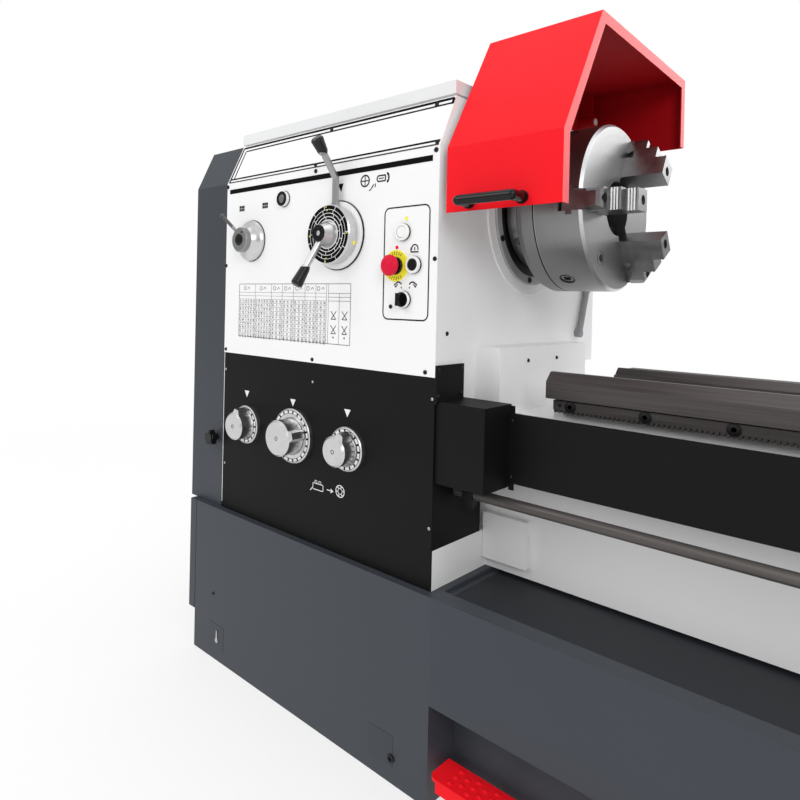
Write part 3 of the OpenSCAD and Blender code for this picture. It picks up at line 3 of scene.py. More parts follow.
import math
from collections import namedtuple

import bpy
from mathutils import Matrix, Vector


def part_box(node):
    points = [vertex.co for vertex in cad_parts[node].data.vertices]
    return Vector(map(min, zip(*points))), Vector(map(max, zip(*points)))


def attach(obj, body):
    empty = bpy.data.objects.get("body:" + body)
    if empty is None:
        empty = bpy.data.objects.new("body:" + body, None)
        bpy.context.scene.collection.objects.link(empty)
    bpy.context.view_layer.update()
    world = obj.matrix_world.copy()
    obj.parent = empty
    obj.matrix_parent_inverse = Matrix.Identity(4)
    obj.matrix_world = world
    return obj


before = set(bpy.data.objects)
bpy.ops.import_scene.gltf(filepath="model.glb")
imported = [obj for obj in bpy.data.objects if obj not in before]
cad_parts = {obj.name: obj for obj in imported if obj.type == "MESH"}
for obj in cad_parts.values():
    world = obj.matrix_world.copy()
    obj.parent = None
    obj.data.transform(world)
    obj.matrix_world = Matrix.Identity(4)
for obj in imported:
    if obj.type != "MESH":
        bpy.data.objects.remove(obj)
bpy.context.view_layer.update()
MM = 0.001
X, Y, Z = Vector((1, 0, 0)), Vector((0, 1, 0)), Vector((0, 0, 1))

# ---------------------------------------------------------------- places, in millimetres


def node_box(name):
    """Lowest and highest corner of a CAD node, in millimetres."""
    low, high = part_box(name)
    return [v / MM for v in low], [v / MM for v in high]


SPINDLE_Z = 1088
HEAD_FRONT = -333  # front of the headstock and of the black panel below it
BASE_FRONT = node_box("left_pedestal")[0][1]
EAVE_Z = 1181  # foot of the sloped cover
SLOPE = Vector((0, 48, 100)).normalized()  # up the sloped cover
# Centres of the controls on the headstock's front, as x and z
DRUM = (-251, 1031)
KNOB = (-540, 1034)
STOP = (-96, 965)
START = (-79, 1028)
JOG = (-52, 966)
MODE = (-75, 901)
SIGHT_GLASS = (-425, 1123)
DIAL_Z = 596
Dial = namedtuple("Dial", "x radius grip_radius blocks")
DIALS = {"left": Dial(-539, 45, 32, 16), "middle": Dial(-374, 60, 39, 22),
         "right": Dial(-209, 45, 31, 16)}
CHUCK_X, CHUCK_FACE = node_box("chuck_body")[0][0], node_box("chuck_body")[1][0]
CHUCK_R = 162.5
JAW_ANGLES = {"a": 180, "b": 60, "c": 300}
# The guard's folded sheet from its front edge over the ridge to the back, as y and z
GUARD_LINE = [(HEAD_FRONT + 1.5, 1057), (HEAD_FRONT + 1.5, 1172), (-199, 1396), (227, 1383),
              (227, 1240)]


def on_front(at, out=0.0):
    """Point on the headstock's front at x and z, or out before it."""
    return Vector((at[0], HEAD_FRONT - out, at[1]))


def from_spindle(angle):
    """Direction away from the spindle's axis, at an angle from Y towards Z."""
    return Matrix.Rotation(math.radians(angle), 3, "X") @ Y


# ---------------------------------------------------------------- camera, light, floor

CAMERA_PLACE = (691.9, -1292.0, 899.2)
CAMERA_TURN = (45.14, 0.31, 1.23)  # degrees: left of Y, downwards, and around the line of sight
CAMERA_LENS, CAMERA_SENSOR = 29.16, 36
CAMERA_SHIFT = (0.0873, -0.1219)
AMBIENT = (0.3, 0.8)  # strength of the studio's own light at the horizon and overhead
OVERHEAD = 0.5  # upward part of a direction from which that light is at its full
# Name, place, target and size in metres, and power in watts
LIGHTS = (("key", (-2.2, -4.2, 3.6), (-0.2, -0.3, 0.8), (3.0, 2.2), 62),
          ("side", (4.6, -3.8, 3.2), (0.0, 0.0, 0.9), (2.4, 2.4), 100),
          ("top", (0.6, 0.2, 4.4), (0.6, 0.0, 0.6), (5.0, 3.0), 40),
          ("back", (2.0, 4.6, 3.0), (0.2, 0.0, 1.1), (4.0, 2.0), 60))
FLOOR_HALF = 40


def add_camera():
    """Camera low in front of the headstock, looking along the machine's front corner."""
    yaw, pitch, roll = (math.radians(a) for a in CAMERA_TURN)
    ahead = Vector((-math.sin(yaw) * math.cos(pitch), math.cos(yaw) * math.cos(pitch),
                    -math.sin(pitch)))
    right = Vector((math.cos(yaw), math.sin(yaw), 0))
    up = right.cross(ahead)
    side = math.cos(roll) * right + math.sin(roll) * up
    top = -math.sin(roll) * right + math.cos(roll) * up
    data = bpy.data.cameras.new("camera")
    data.sensor_width = CAMERA_SENSOR
    data.lens = CAMERA_LENS
    data.shift_x, data.shift_y = CAMERA_SHIFT
    data.clip_start, data.clip_end = 0.05, 200
    camera = bpy.data.objects.new("camera", data)
    turn = Matrix((side, top, -ahead)).transposed().to_4x4()
    camera.matrix_world = Matrix.Translation(Vector(CAMERA_PLACE) * MM) @ turn
    bpy.context.collection.objects.link(camera)
    bpy.context.scene.camera = camera


def add_light(name, place, target, size, power):
    """Rectangular soft box that faces a point."""
    data = bpy.data.lights.new(name, "AREA")
    data.shape = "RECTANGLE"
    data.size, data.size_y = size
    data.energy = power
    light = bpy.data.objects.new(name, data)
    direction = (Vector(target) - Vector(place)).normalized()
    turn = direction.to_track_quat("-Z", "Y").to_matrix().to_4x4()
    light.matrix_world = Matrix.Translation(place) @ turn
    bpy.context.collection.objects.link(light)


def add_world():
    """White studio: seen as plain white, and as a light weaker at the horizon than overhead."""
    world = bpy.data.worlds.new("studio")
    world.use_nodes = True
    tree = world.node_tree
    background = tree.nodes["Background"]
    seen = tree.nodes.new("ShaderNodeLightPath").outputs["Is Camera Ray"]
    direction = tree.nodes.new("ShaderNodeSeparateXYZ")
    generated = tree.nodes.new("ShaderNodeTexCoord").outputs["Generated"]
    tree.links.new(generated, direction.inputs["Vector"])
    lit = tree.nodes.new("ShaderNodeMapRange")
    lit.inputs["From Max"].default_value = OVERHEAD
    lit.inputs["To Min"].default_value, lit.inputs["To Max"].default_value = AMBIENT
    tree.links.new(direction.outputs["Z"], lit.inputs["Value"])
    strength = tree.nodes.new("ShaderNodeMix")
    strength.inputs["B"].default_value = 1.0
    tree.links.new(seen, strength.inputs["Factor"])
    tree.links.new(lit.outputs["Result"], strength.inputs["A"])
    tree.links.new(strength.outputs["Result"], background.inputs["Strength"])
    background.inputs["Color"].default_value = (1, 1, 1, 1)
    bpy.context.scene.world = world
    bpy.context.scene.view_settings.view_transform = "Standard"


def floor_finish():
    """Pale floor, softly lit, that fades to the studio's white far from the machine."""
    s = Shader("floor_paint", Roughness=0.9)
    where = s.place()
    s.link(s.ramp(s.noise(where, 40.0), (0.93, 0.93, 0.93), (0.95, 0.95, 0.95)), "Base Color")
    ellipse = s.add("ShaderNodeMapping",
                    {"Vector": where, "Location": (-0.5, 0, 0), "Scale": (0.35, 0.6, 1)})
    away = s.vector_calc("LENGTH", ellipse.outputs["Vector"], out="Value")
    white = s.ramp(away, 0.62, 1.0, 0.6, 2.0)
    glow = s.add("ShaderNodeEmission", {"Color": (1, 1, 1, 1), "Strength": 1.0})
    mix = s.add("ShaderNodeMixShader",
                {0: white, 1: s.bsdf.outputs["BSDF"], 2: glow.outputs["Emission"]})
    s.tree.links.new(mix.outputs["Shader"], s.tree.nodes["Material Output"].inputs["Surface"])
    return s.material


def add_stage():
    """Soft studio light over a plain pale floor."""
    add_world()
    for light in LIGHTS:
        add_light(*light)
    mesh = bpy.data.meshes.new("floor")
    corners = [(-1, -1), (1, -1), (1, 1), (-1, 1)]
    mesh.from_pydata([(x * FLOOR_HALF, y * FLOOR_HALF, 0) for x, y in corners], [], [(0, 1, 2, 3)])
    floor = bpy.data.objects.new("floor", mesh)
    bpy.context.collection.objects.link(floor)
    floor.data.materials.append(floor_finish())


# ---------------------------------------------------------------- materials


class Shader:
    """Short way to build one procedural material around a Principled BSDF."""

    def __init__(self, name, **sockets):
        self.material = bpy.data.materials.new(name)
        self.material.use_nodes = True
        self.tree = self.material.node_tree
        self.bsdf = self.tree.nodes["Principled BSDF"]
        for key, value in sockets.items():
            self.bsdf.inputs[key].default_value = value

    def feed(self, node, key, value):
        """Sets an input of a node to a constant, or links another node's output to it."""
        if isinstance(value, bpy.types.NodeSocket):
            self.tree.links.new(value, node.inputs[key])
        else:
            node.inputs[key].default_value = value

    def add(self, kind, inputs=None, **settings):
        """A node with its settings; inputs are constants or the outputs of other nodes."""
        node = self.tree.nodes.new(kind)
        for key, value in settings.items():
            setattr(node, key, value)
        for key, value in (inputs or {}).items():
            self.feed(node, key, value)
        return node

    def calc(self, operation, *values):
        """Outcome of a sum on numbers."""
        node = self.add("ShaderNodeMath", dict(enumerate(values)), operation=operation)
        return node.outputs[0]

    def vector_calc(self, operation, *values, out="Vector"):
        """Outcome of a sum on vectors: a vector, or with out="Value" a number."""
        node = self.add("ShaderNodeVectorMath", dict(enumerate(values)), operation=operation)
        return node.outputs[out]

    def link(self, output, socket):
        """Feeds an output into the Principled BSDF."""
        self.tree.links.new(output, self.bsdf.inputs[socket])

    def place(self):
        """Position on the object, in metres."""
        return self.add("ShaderNodeTexCoord").outputs["Object"]

    def noise(self, vector, scale, detail=3.0):
        """Noise from 0 to 1 over a vector."""
        inputs = {"Vector": vector, "Scale": scale, "Detail": detail}
        return self.add("ShaderNodeTexNoise", inputs).outputs["Fac"]

    def ramp(self, value, low, high, start=0.3, end=0.7):
        """Maps a number from start..end to low..high, numbers or colours."""
        if isinstance(low, tuple):
            return self.mix(self.ramp(value, 0.0, 1.0, start, end), (*low, 1), (*high, 1), "RGBA")
        numbers = {"Value": value, "From Min": start, "From Max": end, "To Min": low,
                   "To Max": high}
        return self.add("ShaderNodeMapRange", numbers).outputs["Result"]

    def mix(self, factor, a, b, kind):
        """Value between two, numbers or colours with alpha, each given or linked."""
        node = self.add("ShaderNodeMix", {"Factor": factor}, data_type=kind)
        first = 6 if kind == "RGBA" else 2
        self.feed(node, first, a)
        self.feed(node, first + 1, b)
        return node.outputs[2 if kind == "RGBA" else 0]

    def mask(self, where, rules):
        parts = self.add("ShaderNodeSeparateXYZ", {"Vector": where}).outputs
        inside = None
        for axis, limit, above in rules:
            if isinstance(axis, tuple):
                value = self.vector_calc("DOT_PRODUCT", where, axis, out="Value")
            elif axis == 3:
                around = self.vector_calc("SUBTRACT", where, (0, 0, SPINDLE_Z * MM))
                flat = self.vector_calc("MULTIPLY", around, (0, 1, 1))
                value = self.vector_calc("LENGTH", flat, out="Value")
            else:
                value = parts[axis]
            step = self.calc("GREATER_THAN" if above else "LESS_THAN", value, limit * MM)
            inside = step if inside is None else self.calc("MULTIPLY", inside, step)
        return inside

    def bump(self, height, strength, distance):
        """Relief that only the shading shows."""
        inputs = {"Height": height, "Strength": strength, "Distance": distance}
        self.link(self.add("ShaderNodeBump", inputs).outputs["Normal"], "Normal")


def shade(colour, factor):
    """Colour made darker, or with a factor over 1 lighter."""
    return tuple(min(1.0, c * factor) for c in colour)


EVEN = (1, 1, 1)
ALONG_X = (0.02, 1, 1)
ALONG_Z = (1, 1, 0.03)
Look = namedtuple("Look", "colour rough metallic spread scale along where",
                  defaults=(0.0, 0.04, 2.3, EVEN, ()))


def finish(name, *looks, grain=900.0, bump=0.25, specular=0.3, coat=0.0, pits=0.0004):
    """Finish whose first look covers the whole node and whose others cover parts of it, by place.

    A look covers what lies inside all its rules. A rule is (axis, limit in millimetres, above).
    Axis 3 is the distance from the spindle's axis; a direction stands for the distance along it.
    """
    s = Shader(name)
    s.bsdf.inputs["Specular IOR Level"].default_value = specular
    s.bsdf.inputs["Coat Weight"].default_value = coat
    s.bsdf.inputs["Coat Roughness"].default_value = 0.1
    where = s.place()
    s.bsdf.inputs["Metallic"].default_value = looks[0].metallic
    colour = rough = metal = None
    for look in looks:
        streaks = s.add("ShaderNodeMapping", {"Vector": where, "Scale": look.along})
        pattern = s.noise(streaks.outputs["Vector"], look.scale, 4.0)
        low, high = (shade(look.colour, 1 + sign * look.spread) for sign in (-1, 1))
        own_colour = s.ramp(pattern, low, high)
        own_rough = s.ramp(pattern, look.rough * 0.9, look.rough * 1.1)
        if colour is None:
            colour, rough, metal = own_colour, own_rough, look.metallic
            continue
        mask = s.mask(where, look.where)
        colour = s.mix(mask, colour, own_colour, "RGBA")
        rough = s.mix(mask, rough, own_rough, "FLOAT")
        metal = s.mix(mask, metal, look.metallic, "FLOAT")
    s.link(colour, "Base Color")
    s.link(rough, "Roughness")
    if len({look.metallic for look in looks}) > 1:
        s.link(metal, "Metallic")
    s.bump(s.noise(where, grain, 2.0), bump, pits)
    return s.material


def turned(name, colour, rough, centre, shaded=()):
    """Metal turned on a lathe: fine rings around a line along X through a point.

    Each further entry (rules, factor) is painted shade, or with a factor over 1 a painted highlight,
    on what lies inside the rules.
    """
    s = Shader(name, Metallic=1.0)
    around = s.vector_calc("SUBTRACT", s.place(), [c * MM for c in centre])
    parts = s.add("ShaderNodeSeparateXYZ", {"Vector": around}).outputs
    flat = s.add("ShaderNodeCombineXYZ", {"X": parts[1], "Y": parts[2]}).outputs[0]
    radius = s.vector_calc("LENGTH", flat, out="Value")
    where = s.add("ShaderNodeCombineXYZ", {"X": radius, "Y": parts[0]}).outputs[0]
    rings = s.noise(where, 700.0, 3.0)
    clouds = s.noise(s.place(), 6.0, 3.0)
    both = s.calc("ADD", rings, clouds)
    shown = s.ramp(both, shade(colour, 0.93), shade(colour, 1.06), 0.7, 1.3)
    for rules, factor in shaded:
        mask = s.mask(s.place(), rules)
        shown = s.mix(mask, shown, (*shade(colour, factor), 1), "RGBA")
    s.link(shown, "Base Color")
    s.link(s.ramp(rings, rough * 0.85, rough * 1.2), "Roughness")
    s.bump(rings, 0.08, 0.0002)
    return s.material


def plastic(name, colour, rough, grain=1400.0, bump=0.08, coat=0.0, specular=0.3):
    """Moulded plastic or print with a fine grain."""
    return finish(name, Look(colour, rough, spread=0.08, scale=30.0), grain=grain, bump=bump,
                  coat=coat, specular=specular, pits=0.0003)


WHITE = (0.86, 0.86, 0.862)
GREY_BLUE = (0.048, 0.0545, 0.066)
BLACK = (0.0045, 0.0046, 0.005)
RED = (0.86, 0.008, 0.016)
STEEL = (0.42, 0.42, 0.425)
WAY_STEEL = (0.085, 0.077, 0.075)
GRIP = (0.012, 0.012, 0.013)


def inside_guard():
    """Rules for the inner side of the guard's folded sheet, which is painted with shade."""
    rules = []
    for (y0, z0), (y1, z1) in zip(GUARD_LINE, GUARD_LINE[1:]):
        length = math.hypot(y1 - y0, z1 - z0)
        inward = (0.0, (z1 - z0) / length, (y0 - y1) / length)
        rules.append((inward, inward[1] * y0 + inward[2] * z0 + 0.5, True))
    return rules


def paint_finishes():
    """Painted castings and sheets, some with bare or shaded parts."""
    tray_top = node_box("chip_tray")[1][2]
    rim_back = BASE_FRONT + 39
    # The tray's rim is a little lighter than the cabinet paint: a painted highlight where light falls
    # on the lip.
    tray_rim_painted_highlight = Look(shade(GREY_BLUE, 1.05), 0.4,
                    where=[(2, tray_top - 1, True), (1, rim_back, False)])
    # The tray's floor is much darker than the cabinet paint: painted shade under the bed.
    tray_floor_painted_shade = Look(shade(GREY_BLUE, 0.42), 0.5,
                     where=[(2, tray_top - 40, True), (1, rim_back - 1, True), (0, 30, True)])
    # The guard's back edge is a lighter red: a painted highlight.
    guard_edge_painted_highlight = Look((0.95, 0.13, 0.14), 0.35, where=[(0, 232.2, True)])
    bare_ways = Look(WAY_STEEL, 0.42, 0.6, 0.22, 240.0, ALONG_X,
                     [(2, 727.6, True), (0, 136.5, True)])
    lid = Look((0.74, 0.745, 0.75), 0.45, where=[(2, 1281.4, True)])
    machined_ring = Look(STEEL, 0.35, 0.3, where=[(3, 150.4, False), (0, 3.2, True)])
    # Black inside the cap's inner ring: painted shade in the gap round the spindle nose.
    cap_gap_painted_shade = Look(BLACK, 0.5, where=[(3, 131.2, False)])
    cabinet = Look(GREY_BLUE, 0.45, spread=0.05)
    white = Look(WHITE, 0.4, spread=0.015)
    red = Look(RED, 0.42, spread=0.02)
    return {
        "cabinet": finish("cabinet_paint", cabinet, grain=1200, specular=0.25),
        "tray": finish("tray_paint", cabinet, tray_rim_painted_highlight, tray_floor_painted_shade, grain=1200, specular=0.2),
        "door": finish("door_paint", Look(shade(GREY_BLUE, 0.9), 0.42, spread=0.05), grain=1200,
                       specular=0.25),
        # Darker copy of the white paint for the tailstock: painted shade that keeps it from looking
        # too bright under the lamps.
        "white_shaded_copy": finish("white_paint_shaded_copy", Look(shade(WHITE, 0.68), 0.45, spread=0.03),
                             grain=600),
        "white": finish("white_paint", white, grain=800, bump=0.18),
        "black": finish("black_paint", Look(BLACK, 0.55, spread=0.1), grain=1500, bump=0.4,
                        specular=0.14),
        "red": finish("red_paint", red, grain=500, bump=0.1, specular=0.1),
        # The inside of the guard is a darker red: painted shade.
        "guard": finish(
            "guard_paint", red, Look(shade(RED, 0.42), 0.5, where=inside_guard()), guard_edge_painted_highlight,
            grain=500, bump=0.1, specular=0.1),
        "bed": finish("bed_paint_and_ways", Look(WHITE, 0.42, spread=0.02), bare_ways, grain=800,
                      bump=0.15),
        "cover": finish("cover_and_lid", white, lid, grain=800, bump=0.15),
        "cap": finish("cap_paint", white, machined_ring, cap_gap_painted_shade, grain=800, bump=0.15),
    }


def metal_finishes():
    """Ground, turned, cast and plated metal."""
    chuck_edge = CHUCK_R - 5.5
    # Painted light on the chuck: a dark line of painted shade at the seam of backplate and body, a
    # painted highlight beside it, a painted highlight round the face's rim, and the face made lighter
    # as a painted highlight.
    chuck_painted_light = [([(0, CHUCK_X - 1.6, True), (0, CHUCK_X, False), (3, 150, True)], 0.3),
                    ([(0, CHUCK_X, True), (0, CHUCK_X + 1.8, False), (3, 150, True)], 2.4),
                    ([(0, CHUCK_FACE - 5, True), (3, chuck_edge, True)], 2.6),
                    ([(0, CHUCK_FACE - 1, True), (3, chuck_edge, False)], 1.5)]
    spindle = (0, 0, SPINDLE_Z)
    satin = Look((0.62, 0.62, 0.625), 0.3, 1.0, 0.05, 60.0)
    range_stem = Look((0.36, 0.36, 0.365), 0.35, 1.0, 0.1, 80.0, ALONG_Z, [(2, 1093, True)])
    range_grip = Look(GRIP, 0.28, where=[(2, 1192, True), (1, -375, False)])
    speed_grip = Look(GRIP, 0.28, where=[(2, 963, False)])
    knob_grip = Look((0.3, 0.3, 0.303), 0.4, 1.0, where=[(1, HEAD_FRONT - 24, False)])
    knob_rod = Look((0.1, 0.1, 0.102), 0.35, 0.7, where=[(0, -570, False)])
    rod = Look((0.11, 0.1, 0.096), 0.5, 0.6, 0.25, 200.0, ALONG_X)
    rod_collar = Look(BLACK, 0.5, where=[(0, 19, True), (0, 43, False)])
    return {
        "ways": finish("ground_rack", Look(WAY_STEEL, 0.45, 0.6, 0.22, 240.0, ALONG_X), bump=0.2),
        "shaft": turned("ground_shaft", (0.25, 0.235, 0.225), 0.4, (0, -215, 665)),
        "switch_rod": finish("switch_rod", rod, rod_collar, bump=0.2),
        "chuck": turned("turned_chuck", shade(STEEL, 0.62), 0.36, spindle, chuck_painted_light),
        "spindle": turned("turned_spindle", STEEL, 0.34, spindle),
        "jaw": finish("ground_jaw", Look((0.34, 0.34, 0.343), 0.32, 1.0, 0.1, 60.0, (1, 0.2, 1)),
                      bump=0.1),
        "chrome": finish("satin_chrome", satin, grain=2000, bump=0.04),
        "range": finish("range_lever_metal", satin, range_stem, range_grip, grain=2000, bump=0.04),
        "speed": finish("speed_lever_metal", satin, speed_grip, grain=2000, bump=0.04),
        "knob": finish("knob_metal", satin, knob_grip, knob_rod, grain=2000, bump=0.04),
        "cast": finish("machined_casting", Look((0.16, 0.162, 0.165), 0.5, spread=0.06), grain=700,
                       bump=0.5),
        "bolt": finish("black_oxide", Look((0.016, 0.016, 0.017), 0.4, 0.3, 0.15, 90.0), bump=0.1),
        "zinc": finish("zinc_plate", Look((0.5, 0.5, 0.5), 0.32, 1.0, 0.08, 120.0), bump=0.1),
    }


def plastic_finishes():
    """Inks, plastics, rubber and glass."""
    stem = Look(BLACK, 0.4, where=[(1, HEAD_FRONT - 14, True)])
    return {
        "ink": plastic("black_ink", (0.004, 0.004, 0.0045), 0.6, 900, 0.02, specular=0.05),
        "grey_ink": plastic("grey_ink", (0.045, 0.045, 0.047), 0.55, 900, 0.02, specular=0.1),
        "white_ink": plastic("white_ink", (0.82, 0.82, 0.82), 0.5, 900, 0.02),
        "yellow": plastic("yellow_plastic", (0.88, 0.8, 0.04), 0.4),
        "red_plastic": finish("red_plastic", Look((0.66, 0.002, 0.035), 0.35), stem, grain=1400,
                              bump=0.08, specular=0.2),
        "black_plastic": plastic("black_plastic", (0.005, 0.005, 0.0055), 0.25, coat=0.25,
                                 specular=0.15),
        "white_plastic": plastic("white_plastic", (0.84, 0.84, 0.83), 0.3, coat=0.3),
        "rubber": plastic("belt_rubber", (0.012, 0.012, 0.012), 0.7, 600, 0.4),
        "hose": plastic("hose_plastic", (0.3, 0.31, 0.32), 0.5, 500, 0.3),
        "glass": plastic("sight_glass", (0.13, 0.14, 0.13), 0.08, 900, 0.02, coat=1.0),
    }


NODES = {
    "cabinet": ("left_pedestal", "bed_supports", "tail_bracket", "saddle", "apron", "cross_slide",
                "compound_base", "compound_slide"),
    "tray": ("chip_tray",), "bed": ("bed",), "ways": ("rack",), "white": ("headstock",),
    "cover": ("headstock_cover",), "black": ("feed_gearbox", "leadscrew_cover"),
    "cast": ("gear_bracket", "drive_pulley", "motor_pulley", "tool_post"),
    "rubber": ("v_belts",), "cap": ("bearing_cap",), "hose": ("conduit",), "door": ("end_cover",),
    "black_plastic": ("latch_knob", "guard_handle", "jog_button", "mode_selector"),
    "spindle": ("spindle", "stud_gear", "idler_gear", "screw_gear", "quill"),
    "chuck": ("chuck_backplate", "chuck_body"), "jaw": ("jaw_1", "jaw_2", "jaw_3"),
    "guard": ("chuck_guard",), "range": ("range_lever",), "speed": ("speed_lever",),
    "knob": ("direction_knob",), "red_plastic": ("estop_button",),
    "chrome": ("feed_dial_left", "feed_dial_middle", "feed_dial_right", "start_lever",
               "carriage_handwheel", "half_nut_lever", "feed_lever", "cross_handle",
               "compound_handle", "tool_post_lever", "tailstock_handwheel", "quill_lock"),
    "white_plastic": ("start_button",), "red": ("brake_pedal",),
    "shaft": ("leadscrew", "feed_rod"), "switch_rod": ("control_rod",),
    "white_shaded_copy": ("tailstock",)}


def dress_nodes():
    """Gives each CAD node its finish."""
    for key, names in NODES.items():
        for name in names:
            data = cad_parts[name].data
            data.materials.clear()
            data.materials.append(FINISH[key])


# ---------------------------------------------------------------- mesh building


class Build:
    """Collects vertices and faces in millimetres, then makes one piece of them."""

    def __init__(self):
        self.verts, self.faces = [], []

    def add(self, verts, faces):
        """Takes in a form whose faces count its own vertices."""
        start = len(self.verts)
        self.verts += [Vector(v) for v in verts]
        self.faces += [[start + i for i in face] for face in faces]

    def lathe(self, rows, origin, axis, sides=24, turn=0.0):
        """Rows of (radius or function of the angle, height) around an axis; the ends are closed."""
        basis = Vector(axis).normalized().to_track_quat("Z", "Y").to_matrix()
        verts = []
        for radius, height in rows:
            for i in range(sides):
                angle = 2 * math.pi * i / sides + turn
                r = radius(angle - turn) if callable(radius) else radius
                row_point = Vector((r * math.cos(angle), r * math.sin(angle), height))
                verts.append(Vector(origin) + basis @ row_point)
        faces = []
        for low in range(0, (len(rows) - 1) * sides, sides):
            for i in range(sides):
                j = (i + 1) % sides
                faces.append([low + i, low + j, low + sides + j, low + sides + i])
        faces.append(list(range(sides))[::-1])
        faces.append([(len(rows) - 1) * sides + i for i in range(sides)])
        self.add(verts, faces)

    def plate(self, points, origin, u, v, thick):
        """Flat outline in the plane of u and v, raised by thick."""
        normal = Vector(u).cross(Vector(v)).normalized()
        low = [Vector(origin) + Vector(u) * p[0] + Vector(v) * p[1] for p in points]
        n = len(low)
        faces = [list(range(n, 2 * n)), list(range(n))[::-1]]
        faces += [[i, (i + 1) % n, n + (i + 1) % n, n + i] for i in range(n)]
        self.add(low + [p + normal * thick for p in low], faces)

    def piece(self, name, look, body, slot):
        """Makes the piece, with a finish of that name, on a body; the slot argument is not used."""
        mesh = bpy.data.meshes.new(name)
        mesh.from_pydata([v * MM for v in self.verts], [], self.faces)
        mesh.shade_smooth()
        mesh.set_sharp_from_angle(angle=math.radians(35))
        mesh.materials.append(FINISH[look])
        piece = bpy.data.objects.new(name, mesh)
        bpy.context.collection.objects.link(piece)
        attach(piece, body)


def turned_piece(name, look, body, slot, *rings):
    """One piece of turned forms, each given as the arguments of Build.lathe."""
    b = Build()
    for ring in rings:
        b.lathe(*ring)
    b.piece(name, look, body, slot)


def hexagon(size):
    """Radius of a hexagon, by angle, for lathe rows."""
    return lambda a: size / math.cos((a + math.pi / 6) % (math.pi / 3) - math.pi / 6)


def cap_screw(build, place, axis, head=8.0, height=6.0):
    """Socket-head screw."""
    socket = hexagon(head * 0.5)
    build.lathe([(head, 0), (head, height * 0.85), (head * 0.9, height), (socket, height),
                 (socket, height * 0.3)], place, axis)


def dome_screw(build, place, axis, head=5.0, height=2.6):
    """Button-head screw with a small hexagon socket, turned by its place."""
    socket = hexagon(head * 0.42)
    build.lathe([(head, 0), (head * 0.96, height * 0.45), (head * 0.72, height * 0.85),
                 (socket, height), (socket, height * 0.3)], place, axis, turn=place[0] % 1.0)


# ---------------------------------------------------------------- printed marks

# Strokes of plain figures, 1 wide and 2 high
DIGITS = {
    "0": [[(0, 0), (1, 0), (1, 2), (0, 2), (0, 0)]],
    "1": [[(0.2, 1.6), (0.6, 2), (0.6, 0)]],
    "2": [[(0, 2), (1, 2), (1, 1), (0, 1), (0, 0), (1, 0)]],
    "3": [[(0, 2), (1, 2), (1, 0), (0, 0)], [(0.3, 1), (1, 1)]],
    "4": [[(0, 2), (0, 1), (1, 1)], [(1, 2), (1, 0)]],
    "5": [[(1, 2), (0, 2), (0, 1), (1, 1), (1, 0), (0, 0)]],
    "6": [[(1, 2), (0, 2), (0, 0), (1, 0), (1, 1), (0, 1)]],
    "7": [[(0, 2), (1, 2), (0.4, 0)]],
    "8": [[(0, 0), (1, 0), (1, 2), (0, 2), (0, 0)], [(0, 1), (1, 1)]],
    "9": [[(0, 0), (1, 0), (1, 2), (0, 2), (0, 1), (1, 1)]]}


class Marks(Build):
    """Flat marks on a plane, in the plane's own millimetres."""

    def __init__(self, origin=(0, HEAD_FRONT, 0), u=X, v=Z, lift=0.35):
        super().__init__()
        self.origin, self.u, self.v = Vector(origin), Vector(u), Vector(v)
        self.lift = lift

    def face(self, points):
        """Filled outline."""
        normal = self.u.cross(self.v)
        self.add([self.origin + self.u * p[0] + self.v * p[1] + normal * self.lift
                  for p in points], [list(range(len(points)))])

    def line(self, a, b, width=1.0):
        """Straight stroke."""
        a, b = Vector(a), Vector(b)
        along = (b - a).normalized()
        out = Vector((-along.y, along.x)) * width / 2
        self.face([a - out, b - out, b + out, a + out])

    def path(self, points, width=1.0, closed=False):
        """Strokes from point to point."""
        for a, b in zip(points, points[1:] + ([points[0]] if closed else [])):
            self.line(a, b, width)

    def arc(self, centre, r, width=1.0, start=0, end=360, n=None):
        """Curved stroke of n pieces between two angles in degrees."""
        n = n or max(8, int(abs(end - start) / 10))
        for i in range(n):
            angles = [math.radians(start + (end - start) * (i + k) / n) for k in (0, 1)]
            inner, outer = ([(centre[0] + edge * math.cos(a), centre[1] + edge * math.sin(a))
                             for a in angles] for edge in (r - width / 2, r + width / 2))
            self.face([inner[0], outer[0], outer[1], inner[1]])

    def disc(self, centre, r, n=24):
        """Filled circle."""
        angles = [2 * math.pi * i / n for i in range(n)]
        self.face([(centre[0] + r * math.cos(a), centre[1] + r * math.sin(a)) for a in angles])

    def frame(self, x0, z0, x1, z1, width=1.0, r=0.0):
        """Rectangle of strokes, with round corners where r isn't 0."""
        self.line((x0 + r, z0), (x1 - r, z0), width)
        self.line((x0 + r, z1), (x1 - r, z1), width)
        self.line((x0, z0 + r), (x0, z1 - r), width)
        self.line((x1, z0 + r), (x1, z1 - r), width)
        if r:
            corners = ((x1 - r, z1 - r), (x0 + r, z1 - r), (x0 + r, z0 + r), (x1 - r, z0 + r))
            for k, corner in enumerate(corners):
                self.arc(corner, r, width, 90 * k, 90 * k + 90)

    def number(self, text, x, z, height, width):
        """Plain figures whose middle is at x, z."""
        size = height / 2
        left = x - (1.5 * len(text) - 0.5) * size / 2
        for k, figure in enumerate(text):
            for stroke in DIGITS[figure]:
                self.path([(left + (1.5 * k + p[0]) * size, z + (p[1] - 1) * size)
                           for p in stroke], width)


